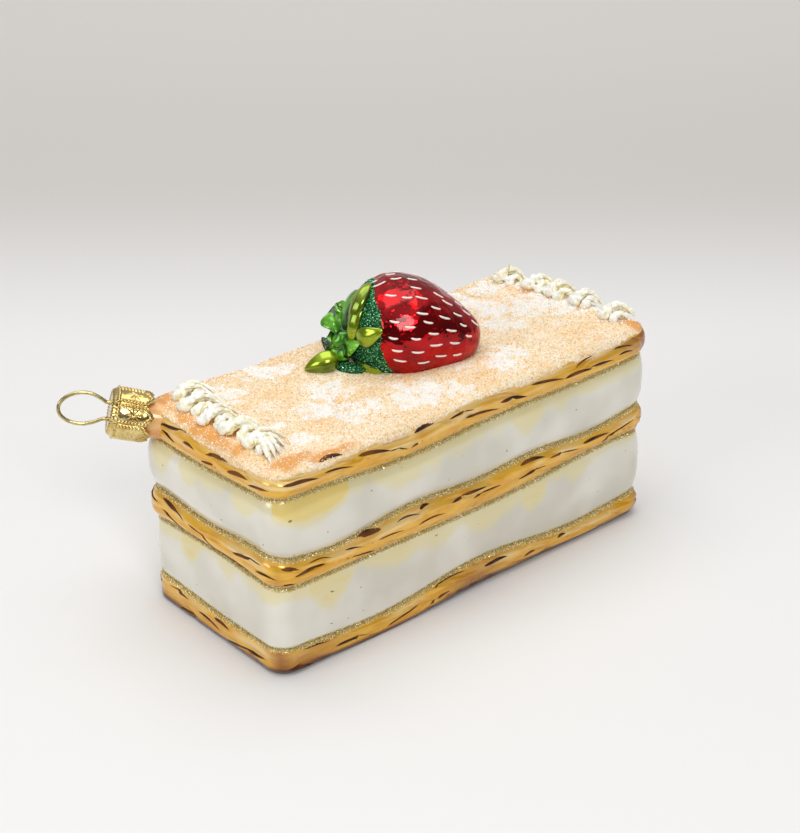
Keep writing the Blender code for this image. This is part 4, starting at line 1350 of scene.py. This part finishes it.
# Each flake's random glint paints it dark to mid green, and about a sixth pale mint: painted glints and
# shade.
green_colour = glitter.mix(glint.step(0.1, 0.7), paint(0, 44, 20), paint(6, 132, 60))
green_material = glitter.set(
    Base_Color=glitter.mix(glint.step(0.80, 0.86), green_colour, paint(170, 255, 200)),
    Metallic=0.55,
    Roughness=0.25,
)
values = {"Density": GREEN_DENSITY, "Flake Size": GREEN_SIZE, "Tilt": GREEN_TILT, "Material": green_material}
green_flakes = grown("green_flakes", skin, flake_tree, values)
for piece in (collar_ground, green_flakes):
    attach(piece, "root")
    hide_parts("glass_body")

# ---------------------------------------------------------------- neck
# The blown neck the cap grips: an open tube of the same glass, sprayed orange
# where it leaves the slice.
NECK_ROOT = Vector((-0.0563, 0.0208, 0.0475))
NECK_AXIS = Vector((-0.80, 0.54, 0.24))
LOOP_ACROSS = Vector((0.335, 0.061, 0.939))
NECK_RADIUS = 0.0045
NECK_BORE_RADIUS = 0.0035
NECK_LENGTH = 0.0082
NECK_BURIED = 0.0070
BORE_DEPTH = 0.0120
NECK_LIP = 0.0003
NECK_AROUND = 64
neck_frame = frame_along(NECK_AXIS, LOOP_ACROSS, NECK_ROOT)


def turned_ring(form, shape):
    """One ring round the neck's axis; shape gives radius and place out at each turn."""
    for i in range(form.around):
        turn = 2 * math.pi * i / form.around
        radius, out = shape(i, turn)
        form.add(neck_frame @ Vector((radius * math.cos(turn), radius * math.sin(turn), out)))


# The neck's radius and place out, up its outside and down into its bore.
NECK_ROWS = (
    (NECK_RADIUS * 0.98, -NECK_BURIED), (NECK_RADIUS, -NECK_BURIED + 0.0002),
    (NECK_RADIUS, NECK_LENGTH - NECK_LIP), (NECK_RADIUS - NECK_LIP, NECK_LENGTH),
    (NECK_BORE_RADIUS + NECK_LIP, NECK_LENGTH), (NECK_BORE_RADIUS, NECK_LENGTH - NECK_LIP),
    (NECK_BORE_RADIUS, NECK_LENGTH - BORE_DEPTH),
)
form = Form(NECK_AROUND)
for row in NECK_ROWS:
    turned_ring(form, lambda i, turn: row)
bore_end = neck_frame @ Vector((0, 0, NECK_LENGTH - BORE_DEPTH))
form.tube(0, neck_frame @ Vector((0, 0, -NECK_BURIED)), bore_end)
orange = Finish("neck_lacquer")
mottled = orange.grain(300, 2.0).step(0.4, 0.6)
orange_material = orange.set(
    Base_Color=orange.mix(mottled, paint(226, 158, 82), paint(240, 190, 120)),
    Roughness=0.25,
    Coat_Weight=0.6,
)
neck = add_piece("neck", form.mesh("neck"), orange_material)
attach(neck, "root")
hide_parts("glass_body")

# ---------------------------------------------------------------- crown cap
# Thin stamped brass-coloured metal, pressed into seven panels.  Each panel
# has beaded borders and an eight-rayed star, and points towards the glass.
CAP_PANELS = 7
CAP_WALL = 0.00032
CAP_NOTCH = 0.0020
CAP_HEIGHT = 0.0095
# The plain cap's place out along the neck and radius.
CAP_ROWS = (
    (0.0, 0.00520), (0.0022, 0.00548), (0.0050, 0.00562), (0.0082, 0.00560), (0.0090, 0.00530),
    (0.0094, 0.00470), (CAP_HEIGHT, 0.00260),
)
CAP_CREASE = 0.0003
PANEL_COLUMNS = 40
CAP_SIDE_ROWS = 62
CAP_SIDE_TOP = 0.0083
PLATE_BEADS = 42
PLATE_BEADS_RADIUS = 0.0049
BEAD_PITCH = 0.00074
BEAD_RAISE = 0.00032
STAR_OUT = 0.0046
STAR_REACH = 0.0017


def bump_at(across, along, pitch, radius):
    """Height of a row of round beads, 0 to 1, on a line where across is 0."""
    beside = (along / pitch + 0.5) % 1 - 0.5
    far = math.hypot(across, beside * pitch) / radius
    return math.sqrt(max(0.0, 1 - far * far))


def cap_profile(out):
    """Radius of the plain cap at a distance out along the neck."""
    for (o0, r0), (o1, r1) in zip(CAP_ROWS, CAP_ROWS[1:]):
        if out <= o1:
            part = (out - o0) / (o1 - o0)
            part = part * part * (3 - 2 * part) if o1 < 0.0083 else part
            return r0 + (r1 - r0) * part
    return CAP_ROWS[-1][1]


def cap_relief(from_middle, out):
    """Pressed relief of one panel: beads, star and the crease beside it."""
    radius = 0.0056
    half = math.pi / CAP_PANELS * radius
    across = from_middle * 2 * half
    edge = half - abs(across)
    height = 0.0
    if 0.0006 < out < 0.0086:
        height = BEAD_RAISE * bump_at(edge - 0.00062, out, BEAD_PITCH, 0.00033)
    height = max(height, BEAD_RAISE * bump_at(out - 0.0081, across, BEAD_PITCH, 0.00033))
    lower = out - CAP_NOTCH * (1 - 2 * (0.5 - abs(from_middle))) * 1.1 - 0.0007
    height = max(height, BEAD_RAISE * bump_at(lower, across, BEAD_PITCH, 0.00030))
    reach = math.hypot(across, out - STAR_OUT)
    if reach < STAR_REACH:
        ray = abs(math.sin(4 * math.atan2(across, out - STAR_OUT)))
        sharp = max(0.0, 1 - ray * reach / 0.00034)
        height -= 0.00026 * sharp * min(1.0, (STAR_REACH - reach) / 0.0005) * min(1.0, reach / 0.0002)
    height += 0.00012 * max(0.0, 1 - (across / half) ** 2)
    height -= CAP_CREASE * max(0.0, 1 - edge / 0.00022)
    foil = noise.noise(Vector((across * 900, out * 900, from_middle)))
    return height + 0.00005 * foil


def notched(level, i):
    """A place out along the cap, raised between the points of the panels."""
    from_middle = (i / PANEL_COLUMNS) % 1 - 0.5
    notch = CAP_NOTCH * (2 * abs(from_middle)) ** 1.4 * max(0.0, 1 - level / CAP_SIDE_TOP) ** 2
    return level + notch, from_middle


def side_shape(i, turn):
    """The stamped outside at the level being laid."""
    out, from_middle = notched(level, i)
    return cap_profile(min(out, 0.0082)) + cap_relief(from_middle, out), out


def plate_shape(i, turn):
    """The end plate, with its ring of beads."""
    pitch = 2 * math.pi * PLATE_BEADS_RADIUS / PLATE_BEADS
    bead = BEAD_RAISE * 0.9 * bump_at(radius - PLATE_BEADS_RADIUS, turn * PLATE_BEADS_RADIUS, pitch, 0.0004)
    foil = noise.noise(Vector((radius * math.cos(turn) * 900, radius * math.sin(turn) * 900, 0)))
    return radius, level + bead + 0.00004 * foil - 0.00003


def inside_shape(i, turn):
    """The inside, following the creases between the panels."""
    out, from_middle = notched(level, i)
    crease = CAP_CREASE * 0.8 * max(0.0, 1 - (0.5 - abs(from_middle)) / 0.06)
    return radius - (crease if radius > 0.0048 else 0.0), out


form = Form(CAP_PANELS * PANEL_COLUMNS)
for row in range(CAP_SIDE_ROWS + 1):
    level = CAP_SIDE_TOP * row / CAP_SIDE_ROWS
    turned_ring(form, side_shape)
plate = [(0.0086, 0.00553), (0.0089, 0.00536), (0.0092, 0.00508), (0.0094, 0.00470)]
plate += [(0.0094 + 0.0001 * k / 8, 0.0047 - 0.0045 * k / 8) for k in range(1, 9)]
for level, radius in plate:
    turned_ring(form, plate_shape)
inside = [(0.0094 - CAP_WALL, 0.0002), (0.0094 - CAP_WALL, 0.0046), (0.0086, 0.0052 - CAP_WALL * 0.4)]
inside += [(out, cap_profile(out) - CAP_WALL) for out in (0.0080 - 0.0078 * k / 6 for k in range(7))]
for level, radius in inside:
    turned_ring(form, inside_shape)
last = len(form.points) - form.around
for ring in range(0, last, form.around):
    form.knit(ring, ring + form.around)
form.knit(last, 0)
metal = Finish("gold_cap")
tarnish = metal.grain(420, 2.0)
metal_material = metal.set(
    Base_Color=metal.mix(tarnish.step(0.35, 0.7), paint(232, 210, 142), paint(196, 164, 96)),
    Metallic=1.0,
    Roughness=0.13 + tarnish * 0.12,
)
crown_cap = add_piece("crown_cap", form.mesh("crown_cap"), metal_material)
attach(crown_cap, "root")
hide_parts("cap")

# ---------------------------------------------------------------- wire hanger
# Springy gilt wire bent to an oval loop; its two legs go through the end of
# the cap and press outwards inside the neck.
WIRE_RADIUS = 0.00043
LOOP_LENGTH = 0.0116
LOOP_HALF_WIDTH = 0.0036
LEG_HALF_SPACING = 0.0019
LEG_SPLAY = 0.0006
LEG_LENGTH = 0.0062
LEG_STRAIGHT = 0.0010
LOOP_WIDEST_PART = 0.50
LOOP_SAG = 0.0011
LEG_POINTS = 14
BOW_POINTS = 40


def loop_route():
    """Centre line of the wire in the neck's frame: X across, Z outwards."""
    inside = CAP_HEIGHT - LEG_LENGTH
    clear_of_cap = CAP_HEIGHT + LEG_STRAIGHT
    widest = CAP_HEIGHT + LOOP_LENGTH * LOOP_WIDEST_PART
    reach = CAP_HEIGHT + LOOP_LENGTH - WIRE_RADIUS
    half = []
    for step in range(LEG_POINTS):
        part = step / LEG_POINTS
        splay = LEG_SPLAY * (1 - part) ** 1.5
        half.append((LEG_HALF_SPACING + splay, inside + (clear_of_cap - inside) * part))
    for step in range(BOW_POINTS):
        part = step / BOW_POINTS
        spread = LOOP_HALF_WIDTH - LEG_HALF_SPACING
        across = LEG_HALF_SPACING + spread * math.sin(part * math.pi / 2)
        half.append((across, clear_of_cap + (widest - clear_of_cap) * part))
    for step in range(BOW_POINTS + 1):
        turn = math.pi / 2 * step / BOW_POINTS
        half.append((LOOP_HALF_WIDTH * math.cos(turn), widest + (reach - widest) * math.sin(turn)))
    other = [(-across, out) for across, out in reversed(half[:-1])]
    route = []
    for across, out in half + other:
        beyond = max(out - clear_of_cap, 0.0) / LOOP_LENGTH
        route.append(neck_frame @ Vector((across - LOOP_SAG * beyond ** 1.5, 0, out)))
    return route


def wire_bender():
    """Geometry Nodes that sweep a round wire along a chain of edges."""
    takes = {"Route": "Geometry", "Wire Radius": "Float", "Material": "Material"}
    build, given = maker("wire_bender", takes, "Wire")
    route = build.node("GeometryNodeMeshToCurve", None, {"Mesh": given["Route"]})
    inputs = {"Resolution": 20, "Radius": given["Wire Radius"]}
    round_bar = build.node("GeometryNodeCurvePrimitiveCircle", None, inputs)
    inputs = {"Curve": route, "Profile Curve": round_bar, "Fill Caps": True}
    return finished(build, build.node("GeometryNodeCurveToMesh", None, inputs), given["Material"])


wire = Finish("gold_wire")
wire_material = wire.set(
    Base_Color=wire.mix(wire.grain(700, 1.0).step(0.4, 0.7), paint(206, 192, 140), paint(178, 160, 104)),
    Metallic=1.0,
    Roughness=0.24,
)
route = loop_route()
line = bpy.data.meshes.new("hanger_route")
line.from_pydata([tuple(point) for point in route], [(i, i + 1) for i in range(len(route) - 1)], [])
values = {"Wire Radius": WIRE_RADIUS, "Material": wire_material}
wire_loop = grown("wire_loop", line, wire_bender(), values)
wire_loop.data.shade_smooth()
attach(wire_loop, "root")
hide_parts("hanger_loop")
